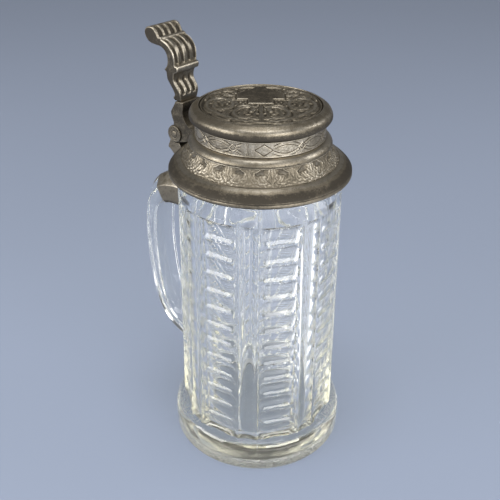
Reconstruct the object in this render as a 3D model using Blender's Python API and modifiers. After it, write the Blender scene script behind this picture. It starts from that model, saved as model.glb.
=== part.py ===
"""Beer stein: a pressed glass mug with a hinged pewter lid.

Frame: the origin is the centre of the foot's flat underside, +Z is up and the
handle points along +X. The lid swings about the hinge pin, which lies along Y.
"""

import math

import bmesh
import bpy
from mathutils import Matrix, Vector

MM = 0.001

# Clearances
SEAT_GAP = 0.3 * MM
PIN_CLEARANCE = 0.1 * MM
RING_CLEARANCE = 0.4 * MM
CUT_OVERRUN = 2.0 * MM
WELD_DISTANCE = 0.001 * MM

# Glass body
RIM_HEIGHT = 160.2 * MM
RIM_RADIUS = 41.7 * MM
ROOT_RADIUS = 43.6 * MM
RIM_WALL = 5.1 * MM
ROOT_WALL = 8.1 * MM
RIM_ROUNDING = 1.6 * MM
FLOOR_THICKNESS = 13.0 * MM
FLOOR_CORNER = 7.0 * MM
FOOT_RADIUS = 48.3 * MM
FOOT_EDGE = 2.0 * MM
FOOT_BAND_HEIGHT = 10.0 * MM
FOOT_SHOULDER_HEIGHT = 8.0 * MM
BODY_STEPS = 48

# Pressed pattern on the glass body
PANEL_COUNT = 8
PANEL_TURN = math.radians(7.3)
PANEL_SPREAD_SHARE = 0.667
PANEL_TOP_DROP = 12.0 * MM
FLUTE_DEPTH = 1.2 * MM
FLUTE_WIDTH_SHARE = 0.9
FLUTE_SIDES = 32
OVAL_COUNT = 13
OVAL_DEPTH = 1.2 * MM
OVAL_WIDTH_SHARE = 0.92
OVAL_HEIGHT_SHARE = 0.9
OVAL_LIFT_SHARE = 0.12
OVAL_SIDES = 8

# Glass handle
HANDLE_REACH = 32.6 * MM
HANDLE_TOP_DROP = 23.2 * MM
HANDLE_FOOT_HEIGHT = 39.5 * MM
HANDLE_WIDTH = 17.4 * MM
HANDLE_GRIP_THICKNESS = 10.4 * MM
HANDLE_ROOT_THICKNESS = 15.2 * MM
# Stations down the handle: reach, height and thickening towards the root, each as a share
HANDLE_SHARES = (
    (-0.11, 1.0, 1.0),
    (0.13, 1.002, 0.96),
    (0.35, 0.998, 0.84),
    (0.55, 0.983, 0.65),
    (0.73, 0.949, 0.38),
    (0.868, 0.897, 0.17),
    (0.948, 0.831, 0.06),
    (0.985, 0.754, 0.01),
    (1.0, 0.662, 0.0),
    (0.997, 0.559, 0.0),
    (0.972, 0.456, 0.0),
    (0.936, 0.359, 0.0),
    (0.877, 0.262, 0.0),
    (0.788, 0.174, 0.01),
    (0.653, 0.103, 0.03),
    (0.469, 0.052, 0.08),
    (0.27, 0.024, 0.17),
    (0.086, 0.008, 0.34),
    (-0.11, 0.0, 0.53),
)
HANDLE_SUBSTEPS = 2
STATION_STEP = 0.1
# Corners of the faceted section: shares of half the thickness and half the width
HANDLE_SECTION_SHARES = (
    (1.0, 0.45),
    (0.3, 1.0),
    (-0.75, 1.0),
    (-1.0, 0.85),
    (-1.0, -0.85),
    (-0.75, -1.0),
    (0.3, -1.0),
    (1.0, -0.45),
)

# Pewter strap round the handle's upper root
STRAP_THICKNESS = 1.2 * MM
STRAP_START_STATION = 0.9
STRAP_END_STATION = 3.55
STRAP_STATIONS = 10
TONGUE_START_STATION = 3.2
TONGUE_END_STATION = 5.7
TONGUE_STATIONS = 9
TONGUE_WIDTH = 6.8 * MM
TONGUE_THICKNESS = 1.0 * MM
TONGUE_TIP_SHARE = 0.1

# Lid, from the rim upwards
FLANGE_OVERHANG = 4.2 * MM
BEAD_HEIGHT = 2.8 * MM
OVOLO_HEIGHT = 4.3 * MM
OVOLO_REACH = 4.2 * MM
FILLET_HEIGHT = 0.9 * MM
FILLET_REACH = 2.2 * MM
FOLIAGE_HEIGHT = 7.3 * MM
FOLIAGE_REACH = 4.6 * MM
FOLIAGE_THICKNESS = 1.2 * MM
BEAD_ARC_FROM = math.radians(46.0)
# Sweep of the foliage band: shares of its reach outwards and of its drop
FOLIAGE_SHARES = ((0.0, 0.0), (0.35, 0.45), (0.75, 0.82), (1.0, 1.0))
DRUM_STEP = 5.3 * MM
WAIST_HEIGHT = 3.6 * MM
WAIST_PROJECTION = 6.0 * MM
WAIST_TOP_PROJECTION = 2.5 * MM
WAIST_SWELL_SHARE = 0.4
WAIST_UNDERCUT_SHARE = 0.7
STRAPWORK_HEIGHT = 7.2 * MM
STRAPWORK_PROJECTION = 2.2 * MM
CROWN_HEIGHT = 7.5 * MM
CROWN_PROJECTION = 4.9 * MM
# Bevelled top of the crown ring: shares of its projection and height
CROWN_TOP_SHARES = ((0.0, 1.0), (0.3, 0.9), (0.78, 0.7))
CROWN_BELLY_REACH_SHARE = 0.3
CROWN_BELLY_HEIGHT_SHARE = 0.27
CROWN_BELLY_CENTRE_SHARE = 0.42
CROWN_BELLY_FROM = math.radians(52.0)
CROWN_BELLY_TO = math.radians(-69.0)
CROWN_NECK_SHARE = 0.85
DISC_THICKNESS = 1.9 * MM
# Raised rim of the disc: shares of the drum's radius and of the thickness
DISC_SHARES = ((0.0, 0.8), (0.94, 0.8), (0.95, 1.0), (0.985, 1.0), (1.0, 0.8), (1.0, 0.0), (0.0, 0.0))
LID_WALL = 1.4 * MM
LID_STEPS = 40

# Ring inside the glass rim
LOCATING_CLEARANCE = 1.3 * MM
LOCATING_DEPTH = 4.5 * MM
LOCATING_OVERLAP = 3.0 * MM
LOCATING_THICKNESS = 1.6 * MM

# Hinge
HINGE_SETBACK = 5.6 * MM
HINGE_RISE = 8.8 * MM
HINGE_WIDTH = 13.0 * MM
HINGE_RINGS = 5
LID_RING_RADIUS = 4.8 * MM
SHANK_RING_RADIUS = 4.6 * MM
PIN_RADIUS = 1.5 * MM
PIN_SIDES = 20
ROSETTE_RADIUS = 4.5 * MM
ROSETTE_THICKNESS = 1.0 * MM
# A boss inside a raised ring: shares of the radius and of the thickness
ROSETTE_SHARES = (
    (0.0, 1.0),
    (0.2, 0.95),
    (0.3, 0.7),
    (0.44, 0.5),
    (0.65, 0.5),
    (0.73, 0.95),
    (0.9, 0.95),
    (1.0, 0.5),
    (1.0, 0.0),
    (0.0, 0.0),
)
ARC_STEPS = 12
CORNER_STEPS = 4
BEAD_STEPS = 5
BELLY_STEPS = 6

# Shank outline: shares of the way from the glass wall to the pin, and from the strap's top to the pin
SHANK_FRONT_SHARES = (
    (0.36, -0.12),
    (0.34, 0.09),
    (0.4, 0.31),
    (0.52, 0.52),
    (0.66, 0.74),
)
SHANK_LEAF_SHARES = (
    (1.44, 0.76),
    (1.55, 0.64),
    (1.38, 0.58),
    (1.15, 0.475),
    (0.98, 0.35),
    (0.92, 0.24),
    (1.05, 0.12),
    (1.4, 0.02),
    (1.5, -0.12),
)
SHANK_ARC_FROM = math.radians(250.0)
SHANK_ARC_TO = math.radians(-42.0)

# Lid bracket outline, measured from the pin
BRACKET_RISE = 17.9 * MM
BRACKET_FRONT_REACH = 18.0 * MM
BRACKET_BACK_REACH = 2.2 * MM
BRACKET_FRONT_SHARES = (
    (0.45, -0.15),
    (1.0, -0.1),
    (1.0, 0.28),
    (0.74, 0.27),
    (0.56, 0.31),
    (0.445, 0.4),
    (0.35, 0.56),
    (0.32, 0.72),
    (0.35, 0.86),
    (0.35, 1.0),
)
BRACKET_BACK_SHARES = (
    (-0.6, 1.0),
    (0.0, 0.87),
    (0.86, 0.7),
    (1.0, 0.625),
    (0.73, 0.49),
    (0.3, 0.36),
)
BRACKET_ARC_FROM = math.radians(80.0)
BRACKET_ARC_TO = math.radians(-120.0)

# Thumb lift, standing on the bracket
THUMB_HEIGHT = 36.3 * MM
THUMB_DEPTH = 20.6 * MM
THUMB_FRONT = 5.3 * MM
THUMB_BASE_WIDTH = 12.2 * MM
THUMB_TOP_WIDTH = 18.8 * MM
THUMB_SPREAD_POWER = 0.6
THUMB_REED_COUNT = 4
THUMB_FINGER_COUNT = 3
THUMB_GROOVE_RADIUS = 1.5 * MM
THUMB_GROOVE_DEPTH = 1.0 * MM
THUMB_FLUTE_DEPTH = 1.6 * MM
GROOVE_SIDES = 6
# Front edge from the base up, as shares of the depth and height
THUMB_FRONT_SHARES = (
    (0.02, 0.0),
    (0.0, 0.066),
    (0.0, 0.116),
    (0.034, 0.168),
    (0.102, 0.223),
    (0.16, 0.278),
    (0.165, 0.339),
    (0.126, 0.394),
    (0.063, 0.416),
    (0.034, 0.449),
    (0.044, 0.488),
    (0.087, 0.51),
    (0.083, 0.562),
    (0.092, 0.634),
    (0.126, 0.697),
    (0.209, 0.771),
    (0.345, 0.824),
    (0.47, 0.851),
)
THUMB_CURL_SHARES = (
    (0.54, 0.868),
    (0.573, 0.893),
    (0.612, 0.934),
    (0.675, 0.978),
    (0.772, 1.0),
    (0.883, 0.992),
    (0.966, 0.961),
    (1.0, 0.912),
    (0.985, 0.857),
    (0.917, 0.802),
    (0.811, 0.771),
)
THUMB_BACK_SHARES = (
    (0.641, 0.76),
    (0.495, 0.747),
    (0.383, 0.705),
    (0.325, 0.645),
    (0.316, 0.567),
    (0.35, 0.504),
    (0.403, 0.463),
    (0.451, 0.43),
    (0.398, 0.402),
    (0.393, 0.35),
    (0.383, 0.3),
    (0.325, 0.24),
    (0.257, 0.179),
    (0.214, 0.124),
    (0.204, 0.085),
    (0.267, 0.041),
    (0.238, 0.0),
)
REED_GROOVE_SHARES = (0.535, 0.58, 0.634, 0.697, 0.75, 0.8, 0.835)
FINGER_GROOVE_SHARES = (0.07, 0.116, 0.168, 0.223, 0.278, 0.339, 0.37)
CURL_CENTRE_SHARES = (0.8, 0.885)
CURL_FLUTE_REACH_SHARE = 0.125
CURL_FLUTE_LENGTH_SHARE = 0.8
CURL_FLUTE_WIDTH_SHARE = 0.4
CURL_FLUTE_SPREAD_SHARE = 0.92
CURL_FLUTE_LIFT = math.radians(127.0)
REED_SPREAD_SHARE = 0.72
FINGER_SPREAD_SHARE = 0.5

# Places worked out from the sizes above
FOOT_TOP = FOOT_BAND_HEIGHT + FOOT_SHOULDER_HEIGHT
PANEL_TOP = RIM_HEIGHT - PANEL_TOP_DROP
PANEL_PITCH = math.tau / PANEL_COUNT
PANEL_SPREAD = PANEL_PITCH * PANEL_SPREAD_SHARE
LID_UNDERSIDE = RIM_HEIGHT + SEAT_GAP
FLANGE_RADIUS = RIM_RADIUS + FLANGE_OVERHANG
BEAD_TOP = LID_UNDERSIDE + BEAD_HEIGHT
OVOLO_TOP = BEAD_TOP + OVOLO_HEIGHT
OVOLO_TOP_RADIUS = FLANGE_RADIUS - OVOLO_REACH
FOLIAGE_BASE = OVOLO_TOP + FILLET_HEIGHT
FOLIAGE_BASE_RADIUS = OVOLO_TOP_RADIUS - FILLET_REACH
FOLIAGE_TOP = FOLIAGE_BASE + FOLIAGE_HEIGHT
FOLIAGE_TOP_RADIUS = FOLIAGE_BASE_RADIUS - FOLIAGE_REACH
DRUM_RADIUS = FOLIAGE_TOP_RADIUS - DRUM_STEP
RING_BORE = DRUM_RADIUS + SEAT_GAP
WAIST_BASE = FOLIAGE_TOP + SEAT_GAP
WAIST_TOP = WAIST_BASE + WAIST_HEIGHT
STRAPWORK_BASE = WAIST_TOP + SEAT_GAP
STRAPWORK_TOP = STRAPWORK_BASE + STRAPWORK_HEIGHT
CROWN_BASE = STRAPWORK_TOP + SEAT_GAP
CROWN_TOP = CROWN_BASE + CROWN_HEIGHT
DRUM_TOP = CROWN_TOP - DISC_THICKNESS - SEAT_GAP
BORE_RIM_RADIUS = RIM_RADIUS - RIM_WALL
BORE_ROOT_RADIUS = ROOT_RADIUS - ROOT_WALL
LOCATING_RADIUS = BORE_RIM_RADIUS - LOCATING_CLEARANCE
PIN_X = FLANGE_RADIUS + HINGE_SETBACK
PIN_Z = RIM_HEIGHT + HINGE_RISE
RING_WIDTH = (HINGE_WIDTH - SEAT_GAP * (HINGE_RINGS - 1)) / HINGE_RINGS
BRACKET_TOP = PIN_Z + BRACKET_RISE
HANDLE_TOP = RIM_HEIGHT - HANDLE_TOP_DROP
THUMB_BASE = BRACKET_TOP + SEAT_GAP


def lerp(low, high, share):
    return low + (high - low) * share


def wall_radius(z):
    """Outer radius of the uncut glass wall at a height."""
    return lerp(ROOT_RADIUS, RIM_RADIUS, (z - FOOT_TOP) / (RIM_HEIGHT - FOOT_TOP))


WALL_SLOPE = math.atan2(ROOT_RADIUS - RIM_RADIUS, RIM_HEIGHT - FOOT_TOP)


def arc(centre_x, centre_z, radius_x, radius_z, start, end, steps=ARC_STEPS):
    """Points along an arc of a circle or ellipse, both ends included."""
    points = []
    for step in range(steps + 1):
        angle = lerp(start, end, step / steps)
        points.append((centre_x + radius_x * math.cos(angle), centre_z + radius_z * math.sin(angle)))
    return points


def quarter(centre_x, centre_z, radius_x, radius_z, start_quarter, end_quarter):
    """A rounded corner between two right angles, counted in quarter turns."""
    start = start_quarter * math.pi / 2
    end = end_quarter * math.pi / 2
    return arc(centre_x, centre_z, radius_x, radius_z, start, end, CORNER_STEPS)


# Scene, collections and materials


def clear_scene():
    for item in list(bpy.data.objects):
        bpy.data.objects.remove(item, do_unlink=True)


def make_collection(name):
    collection = bpy.data.collections.new(name)
    bpy.context.scene.collection.children.link(collection)
    return collection


def finish(item, colour, roughness, metallic, transmission=0.0):
    """Give a piece its own Principled material."""
    material = bpy.data.materials.new(item.name + "_finish")
    material.use_nodes = True
    shader = material.node_tree.nodes["Principled BSDF"]
    shader.inputs["Base Color"].default_value = (*colour, 1.0)
    shader.inputs["Roughness"].default_value = roughness
    shader.inputs["Metallic"].default_value = metallic
    shader.inputs["Transmission Weight"].default_value = transmission
    item.data.materials.clear()
    item.data.materials.append(material)
    return item


def pewter(item):
    return finish(item, (0.36, 0.33, 0.29), 0.42, 1.0)


def clear_glass(item):
    return finish(item, (0.93, 0.95, 0.92), 0.04, 0.0, 0.9)


def steel(item):
    return finish(item, (0.45, 0.44, 0.43), 0.3, 1.0)


def add_object(name, mesh, collection):
    item = bpy.data.objects.new(name, mesh)
    collection.objects.link(item)
    return item


def as_cutter(item):
    item.hide_render = True
    item.display_type = "WIRE"
    return item


def boolean(item, cutter, operation="DIFFERENCE"):
    modifier = item.modifiers.new(operation.lower() + "_" + cutter.name, "BOOLEAN")
    modifier.operation = operation
    modifier.object = cutter
    modifier.solver = "EXACT"


# Ways of making a solid


def turned(name, outline, collection, closed=False, steps=LID_STEPS):
    """A profile turned about its own Z axis; the profile runs down its outer side."""
    mesh = bpy.data.meshes.new(name)
    edges = [(index, index + 1) for index in range(len(outline) - 1)]
    if closed:
        edges.append((len(outline) - 1, 0))
    mesh.from_pydata([(radius, 0.0, z) for radius, z in outline], edges, [])
    item = add_object(name, mesh, collection)
    screw = item.modifiers.new("turn", "SCREW")
    screw.axis = "Z"
    screw.angle = math.tau
    screw.steps = steps
    screw.render_steps = steps
    screw.use_merge_vertices = True
    screw.merge_threshold = WELD_DISTANCE
    screw.use_smooth_shade = True
    return item


def plate(name, outline, half_width, collection):
    """A flat outline in the XZ plane, filled and extruded both ways along Y."""
    curve = bpy.data.curves.new(name, "CURVE")
    curve.dimensions = "2D"
    curve.fill_mode = "BOTH"
    curve.extrude = half_width
    spline = curve.splines.new("POLY")
    spline.points.add(len(outline) - 1)
    for point, (x, z) in zip(spline.points, outline):
        point.co = (x, z, 0.0, 1.0)
    spline.use_cyclic_u = True
    drawing = add_object(name + "_outline", curve, collection)
    drawing.rotation_euler = (math.pi / 2, 0.0, 0.0)
    bpy.context.view_layer.update()
    evaluated = drawing.evaluated_get(bpy.context.evaluated_depsgraph_get())
    mesh = bpy.data.meshes.new_from_object(evaluated)
    mesh.transform(drawing.matrix_world)
    form = bmesh.new()
    form.from_mesh(mesh)
    bmesh.ops.remove_doubles(form, verts=form.verts, dist=WELD_DISTANCE)
    bmesh.ops.recalc_face_normals(form, faces=form.faces)
    form.to_mesh(mesh)
    form.free()
    mesh.name = name
    bpy.data.objects.remove(drawing, do_unlink=True)
    return add_object(name, mesh, collection)


def loft(name, tubes, collection):
    """Closed solids, each skinned over its own list of rings with equal counts."""
    form = bmesh.new()
    for rings in tubes:
        loops = [[form.verts.new(point) for point in ring] for ring in rings]
        for lower, upper in zip(loops, loops[1:]):
            count = len(lower)
            for index in range(count):
                following = (index + 1) % count
                form.faces.new((lower[index], lower[following], upper[following], upper[index]))
        form.faces.new(reversed(loops[0]))
        form.faces.new(loops[-1])
    bmesh.ops.recalc_face_normals(form, faces=form.faces)
    mesh = bpy.data.meshes.new(name)
    form.to_mesh(mesh)
    form.free()
    return add_object(name, mesh, collection)


def pin_cylinder(name, radius, low_y, high_y, collection, sides=PIN_SIDES):
    """A cylinder along Y on the hinge axis."""
    form = bmesh.new()
    place = Matrix.Translation((PIN_X, (low_y + high_y) / 2, PIN_Z)) @ Matrix.Rotation(math.pi / 2, 4, "X")
    length = high_y - low_y
    bmesh.ops.create_cone(
        form, cap_ends=True, segments=sides, radius1=radius, radius2=radius, depth=length, matrix=place
    )
    mesh = bpy.data.meshes.new(name)
    form.to_mesh(mesh)
    form.free()
    return add_object(name, mesh, collection)


# Glass mug


def glass_outline():
    """Half section of the mug, from the floor inside, over the rim and down to the underside."""
    inside = [(0.0, FLOOR_THICKNESS)]
    inside += quarter(
        BORE_ROOT_RADIUS - FLOOR_CORNER, FLOOR_THICKNESS + FLOOR_CORNER, FLOOR_CORNER, FLOOR_CORNER, -1, 0
    )
    rim_z = RIM_HEIGHT - RIM_ROUNDING
    rim_inner = quarter(BORE_RIM_RADIUS + RIM_ROUNDING, rim_z, RIM_ROUNDING, RIM_ROUNDING, 2, 1)
    rim_outer = quarter(RIM_RADIUS - RIM_ROUNDING, rim_z, RIM_ROUNDING, RIM_ROUNDING, 1, 0)
    shoulder = quarter(
        ROOT_RADIUS, FOOT_BAND_HEIGHT, FOOT_RADIUS - ROOT_RADIUS, FOOT_SHOULDER_HEIGHT, 1, 0
    )
    edge = quarter(FOOT_RADIUS - FOOT_EDGE, FOOT_EDGE, FOOT_EDGE, FOOT_EDGE, 0, -1)
    return inside + rim_inner + rim_outer + shoulder + edge + [(0.0, 0.0)]


def wall_frame(azimuth, z, distance):
    """A frame on the sloping wall: X runs round the mug, Y up the wall and Z outwards."""
    upright = Matrix(((0.0, 0.0, 1.0), (1.0, 0.0, 0.0), (0.0, 1.0, 0.0))).to_4x4()
    turn = Matrix.Rotation(azimuth, 4, "Z")
    lean = Matrix.Rotation(-WALL_SLOPE, 4, "Y")
    return turn @ Matrix.Translation((distance, 0.0, z)) @ lean @ upright


def panel_cutter(collection):
    """Slabs that plane eight flats on the wall."""
    form = bmesh.new()
    middle = (FOOT_TOP + PANEL_TOP) / 2
    flat = wall_radius(middle) * math.cos(PANEL_SPREAD / 2)
    depth = ROOT_RADIUS * (1 - math.cos(PANEL_SPREAD / 2)) + CUT_OVERRUN
    width = ROOT_RADIUS * math.sin(PANEL_SPREAD / 2) + CUT_OVERRUN
    for index in range(PANEL_COUNT):
        place = wall_frame(PANEL_TURN + index * PANEL_PITCH, middle, flat + depth / 2)
        scale = Matrix.Diagonal((2 * width, PANEL_TOP - FOOT_TOP, depth, 1.0))
        bmesh.ops.create_cube(form, size=1.0, matrix=place @ scale)
    mesh = bpy.data.meshes.new("panel_cutter")
    form.to_mesh(mesh)
    form.free()
    return as_cutter(add_object("panel_cutter", mesh, collection))


def flute_cutter(collection):
    """Upright cylinders that hollow the narrow strips between the flats."""
    form = bmesh.new()
    middle = (FOOT_TOP + PANEL_TOP) / 2
    radius = wall_radius(middle)
    half_width = radius * math.sin((PANEL_PITCH - PANEL_SPREAD) / 2) * FLUTE_WIDTH_SHARE
    cutter_radius = (half_width**2 + FLUTE_DEPTH**2) / (2 * FLUTE_DEPTH)
    chord_distance = math.sqrt(radius**2 - half_width**2)
    lay_flat = Matrix.Rotation(math.pi / 2, 4, "X")
    for index in range(PANEL_COUNT):
        azimuth = PANEL_TURN + (index + 0.5) * PANEL_PITCH
        place = wall_frame(azimuth, middle, chord_distance + cutter_radius - FLUTE_DEPTH) @ lay_flat
        bmesh.ops.create_cone(
            form,
            cap_ends=True,
            segments=FLUTE_SIDES,
            radius1=cutter_radius,
            radius2=cutter_radius,
            depth=PANEL_TOP - FOOT_TOP,
            matrix=place,
        )
    mesh = bpy.data.meshes.new("flute_cutter")
    form.to_mesh(mesh)
    form.free()
    return as_cutter(add_object("flute_cutter", mesh, collection))


def oval_cutter(collection):
    """Flattened bowls with round ends that scoop the stacked ovals."""
    form = bmesh.new()
    pitch = (PANEL_TOP - FOOT_TOP) / OVAL_COUNT
    half_height = pitch * OVAL_HEIGHT_SHARE / 2
    half_width = RIM_RADIUS * math.sin(PANEL_SPREAD / 2) * OVAL_WIDTH_SHARE
    stretch = half_width - half_height
    for index in range(PANEL_COUNT):
        for row in range(OVAL_COUNT):
            z = FOOT_TOP + (row + 0.5) * pitch
            distance = wall_radius(z) * math.cos(PANEL_SPREAD / 2)
            bowl = bmesh.ops.create_uvsphere(form, u_segments=OVAL_SIDES, v_segments=4, radius=1.0)["verts"]
            place = wall_frame(PANEL_TURN + index * PANEL_PITCH, z, distance + OVAL_DEPTH * OVAL_LIFT_SHARE)
            for vertex in bowl:
                x, y, lift = vertex.co
                spread = math.hypot(x, y)
                side = 0.0 if abs(x) < 0.0001 else math.copysign(spread, x)
                across = x * half_height + side * stretch
                vertex.co = place @ Vector((across, y * half_height, lift * OVAL_DEPTH))
    mesh = bpy.data.meshes.new("oval_cutter")
    form.to_mesh(mesh)
    form.free()
    return as_cutter(add_object("oval_cutter", mesh, collection))


def glass_body(parts, cutters):
    body = turned("glass_body", glass_outline(), parts, steps=BODY_STEPS)
    for cutter in (panel_cutter(cutters), flute_cutter(cutters), oval_cutter(cutters)):
        boolean(body, cutter)
    return clear_glass(body)


# Glass handle and the strap that follows it


def handle_station(station):
    """Centre and half thickness of the handle at a station, on a smooth curve through the shares."""
    last = len(HANDLE_SHARES) - 1
    start = min(int(station), last - 1)
    share = station - start
    rows = [HANDLE_SHARES[min(max(start + offset, 0), last)] for offset in (-1, 0, 1, 2)]
    values = []
    for before, here, there, after in zip(*rows):
        slope_in = (there - before) / 2
        slope_out = (after - here) / 2
        value = (2 * share**3 - 3 * share**2 + 1) * here
        value += (share**3 - 2 * share**2 + share) * slope_in
        value += (3 * share**2 - 2 * share**3) * there
        value += (share**3 - share**2) * slope_out
        values.append(value)
    reach, height, thickening = values
    x = wall_radius(HANDLE_TOP) + reach * HANDLE_REACH
    z = lerp(HANDLE_FOOT_HEIGHT, HANDLE_TOP, height)
    return Vector((x, 0.0, z)), lerp(HANDLE_GRIP_THICKNESS, HANDLE_ROOT_THICKNESS, thickening) / 2


def handle_frame(station):
    """Centre, outward normal and half thickness at a station."""
    last = len(HANDLE_SHARES) - 1
    centre, half_thickness = handle_station(station)
    before = handle_station(max(station - STATION_STEP, 0.0))[0]
    after = handle_station(min(station + STATION_STEP, last))[0]
    along = (after - before).normalized()
    return centre, Vector((-along.z, 0.0, along.x)), half_thickness


def handle_ring(station, growth):
    """The faceted section at a station, grown all round."""
    centre, normal, half_thickness = handle_frame(station)
    half_width = HANDLE_WIDTH / 2
    ring = []
    for thick_share, wide_share in HANDLE_SECTION_SHARES:
        across = normal * (thick_share * (half_thickness + growth))
        ring.append(centre + across + Vector((0.0, wide_share * (half_width + growth), 0.0)))
    return ring


def station_range(start, end, count):
    return [lerp(start, end, index / count) for index in range(count + 1)]


def strap_rings(growth, overrun=0.0):
    """Sections under the strap, grown all round and run past both of its ends."""
    extra = overrun / HANDLE_REACH * (len(HANDLE_SHARES) - 1)
    stations = station_range(STRAP_START_STATION - extra, STRAP_END_STATION + extra, STRAP_STATIONS)
    return [handle_ring(station, growth) for station in stations]


def wall_cutter(name, clearance, collection):
    """The mug's outer wall, grown by a clearance, for pieces that end on it."""
    outline = [
        (0.0, RIM_HEIGHT),
        (wall_radius(RIM_HEIGHT) + clearance, RIM_HEIGHT),
        (wall_radius(FOOT_TOP) + clearance, FOOT_TOP),
        (0.0, FOOT_TOP),
    ]
    return as_cutter(turned(name, outline, collection, steps=BODY_STEPS))


def glass_handle(parts, cutters):
    last = len(HANDLE_SHARES) - 1
    stations = station_range(0, last, last * HANDLE_SUBSTEPS)
    handle = loft("glass_handle", [[handle_ring(station, 0.0) for station in stations]], parts)
    boolean(handle, wall_cutter("handle_wall_cutter", SEAT_GAP, cutters))
    return clear_glass(handle)


def handle_strap(parts, cutters):
    """The band, bored to the handle, with a pointed tongue along the handle's back."""
    strap = loft("handle_strap", [strap_rings(SEAT_GAP + STRAP_THICKNESS)], parts)
    tongue_rings = []
    for station in station_range(TONGUE_START_STATION, TONGUE_END_STATION, TONGUE_STATIONS):
        share = (station - TONGUE_START_STATION) / (TONGUE_END_STATION - TONGUE_START_STATION)
        half_width = TONGUE_WIDTH / 2 * lerp(1.0, TONGUE_TIP_SHARE, share**2)
        centre, normal, half_thickness = handle_frame(station)
        middle = centre + normal * (half_thickness + SEAT_GAP + STRAP_THICKNESS / 2)
        side = Vector((0.0, half_width, 0.0))
        lift = normal * (TONGUE_THICKNESS / 2)
        upper = middle + lift
        lower = middle - lift
        tongue_rings.append([upper + side, lower + side, lower - side, upper - side])
    tongue = as_cutter(loft("strap_tongue", [tongue_rings], cutters))
    boolean(strap, tongue, "UNION")
    bore = as_cutter(loft("strap_bore", [strap_rings(SEAT_GAP, 2 * SEAT_GAP)], cutters))
    boolean(strap, bore)
    return pewter(strap)


# Hinge


def ring_edges():
    """Low and high Y of each hinge ring, from one side to the other."""
    step = RING_WIDTH + SEAT_GAP
    low = -HINGE_WIDTH / 2
    return [(low + index * step, low + index * step + RING_WIDTH) for index in range(HINGE_RINGS)]


def ring_clearance_cutters(name, own_remainder, radius, collection):
    """Cylinders that clear the other piece's rings; own_remainder is 0 or 1 for even or odd rings."""
    tools = []
    for index, (low, high) in enumerate(ring_edges()):
        if index % 2 == own_remainder:
            continue
        low_y = low - (SEAT_GAP if index > 0 else CUT_OVERRUN)
        high_y = high + (SEAT_GAP if index < HINGE_RINGS - 1 else CUT_OVERRUN)
        tool = pin_cylinder(f"{name}_{index + 1}", radius + RING_CLEARANCE, low_y, high_y, collection)
        tools.append(as_cutter(tool))
    return tools


def pin_bore(name, collection):
    reach = HINGE_WIDTH / 2 + CUT_OVERRUN
    return as_cutter(pin_cylinder(name, PIN_RADIUS + PIN_CLEARANCE, -reach, reach, collection))


def shank_outline():
    """From the strap up the front, round the hinge rings and down the leaf behind."""
    wall_x = wall_radius(RIM_HEIGHT)
    centre, _normal, half_thickness = handle_frame(STRAP_START_STATION)
    strap_top = centre.z + half_thickness + SEAT_GAP + STRAP_THICKNESS

    def place(share_x, share_z):
        return lerp(wall_x, PIN_X, share_x), lerp(strap_top, PIN_Z, share_z)

    front = [place(*shares) for shares in SHANK_FRONT_SHARES]
    rings = arc(PIN_X, PIN_Z, SHANK_RING_RADIUS, SHANK_RING_RADIUS, SHANK_ARC_FROM, SHANK_ARC_TO)
    leaf = [place(*shares) for shares in SHANK_LEAF_SHARES]
    return front + rings + leaf


def hinge_shank(parts, cutters):
    shank = plate("hinge_shank", shank_outline(), HINGE_WIDTH / 2, parts)
    growth = SEAT_GAP + STRAP_THICKNESS + SEAT_GAP
    saddle = as_cutter(loft("shank_saddle", [strap_rings(growth, 2 * SEAT_GAP)], cutters))
    boolean(shank, saddle)
    for tool in ring_clearance_cutters("shank_ring_gap", 1, LID_RING_RADIUS, cutters):
        boolean(shank, tool)
    boolean(shank, pin_bore("shank_bore", cutters))
    return pewter(shank)


def hinge_pin(parts):
    return steel(pin_cylinder("hinge_pin", PIN_RADIUS, -HINGE_WIDTH / 2, HINGE_WIDTH / 2, parts))


def bracket_outline():
    """From the pin ring's underside, along the lid, up the concave front and down the back."""
    front = [
        (PIN_X - share_x * BRACKET_FRONT_REACH, PIN_Z + share_z * BRACKET_RISE)
        for share_x, share_z in BRACKET_FRONT_SHARES
    ]
    back = [
        (PIN_X + share_x * BRACKET_BACK_REACH, PIN_Z + share_z * BRACKET_RISE)
        for share_x, share_z in BRACKET_BACK_SHARES
    ]
    ring = arc(PIN_X, PIN_Z, LID_RING_RADIUS, LID_RING_RADIUS, BRACKET_ARC_FROM, BRACKET_ARC_TO)
    return front + back + ring


def lid_bracket(parts, cutters):
    bracket = plate("lid_bracket", bracket_outline(), HINGE_WIDTH / 2, parts)
    boolean(bracket, as_cutter(turned("bracket_lid_cutter", lid_envelope(SEAT_GAP), cutters)))
    for tool in ring_clearance_cutters("bracket_ring_gap", 0, SHANK_RING_RADIUS, cutters):
        boolean(bracket, tool)
    boolean(bracket, pin_bore("bracket_bore", cutters))
    return pewter(bracket)


def hinge_rosette(name, side, parts):
    """One medallion on the outside of the bracket; side is 1 for +Y and -1 for -Y."""
    outline = [(radius * ROSETTE_RADIUS, lift * ROSETTE_THICKNESS) for radius, lift in ROSETTE_SHARES]
    rosette = turned(name, outline, parts, steps=PIN_SIDES)
    rosette.location = (PIN_X, side * (HINGE_WIDTH / 2 + SEAT_GAP), PIN_Z)
    rosette.rotation_euler = (-side * math.pi / 2, 0.0, 0.0)
    return pewter(rosette)


# Thumb lift


def thumb_place(share_x, share_z):
    return PIN_X - THUMB_FRONT + share_x * THUMB_DEPTH, THUMB_BASE + share_z * THUMB_HEIGHT


def thumb_half_width(z):
    """The lift widens quickly from its base and then slowly to the curl."""
    share = min(max((z - THUMB_BASE) / THUMB_HEIGHT, 0.0), 1.0)
    return lerp(THUMB_BASE_WIDTH, THUMB_TOP_WIDTH, share**THUMB_SPREAD_POWER) / 2


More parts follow.
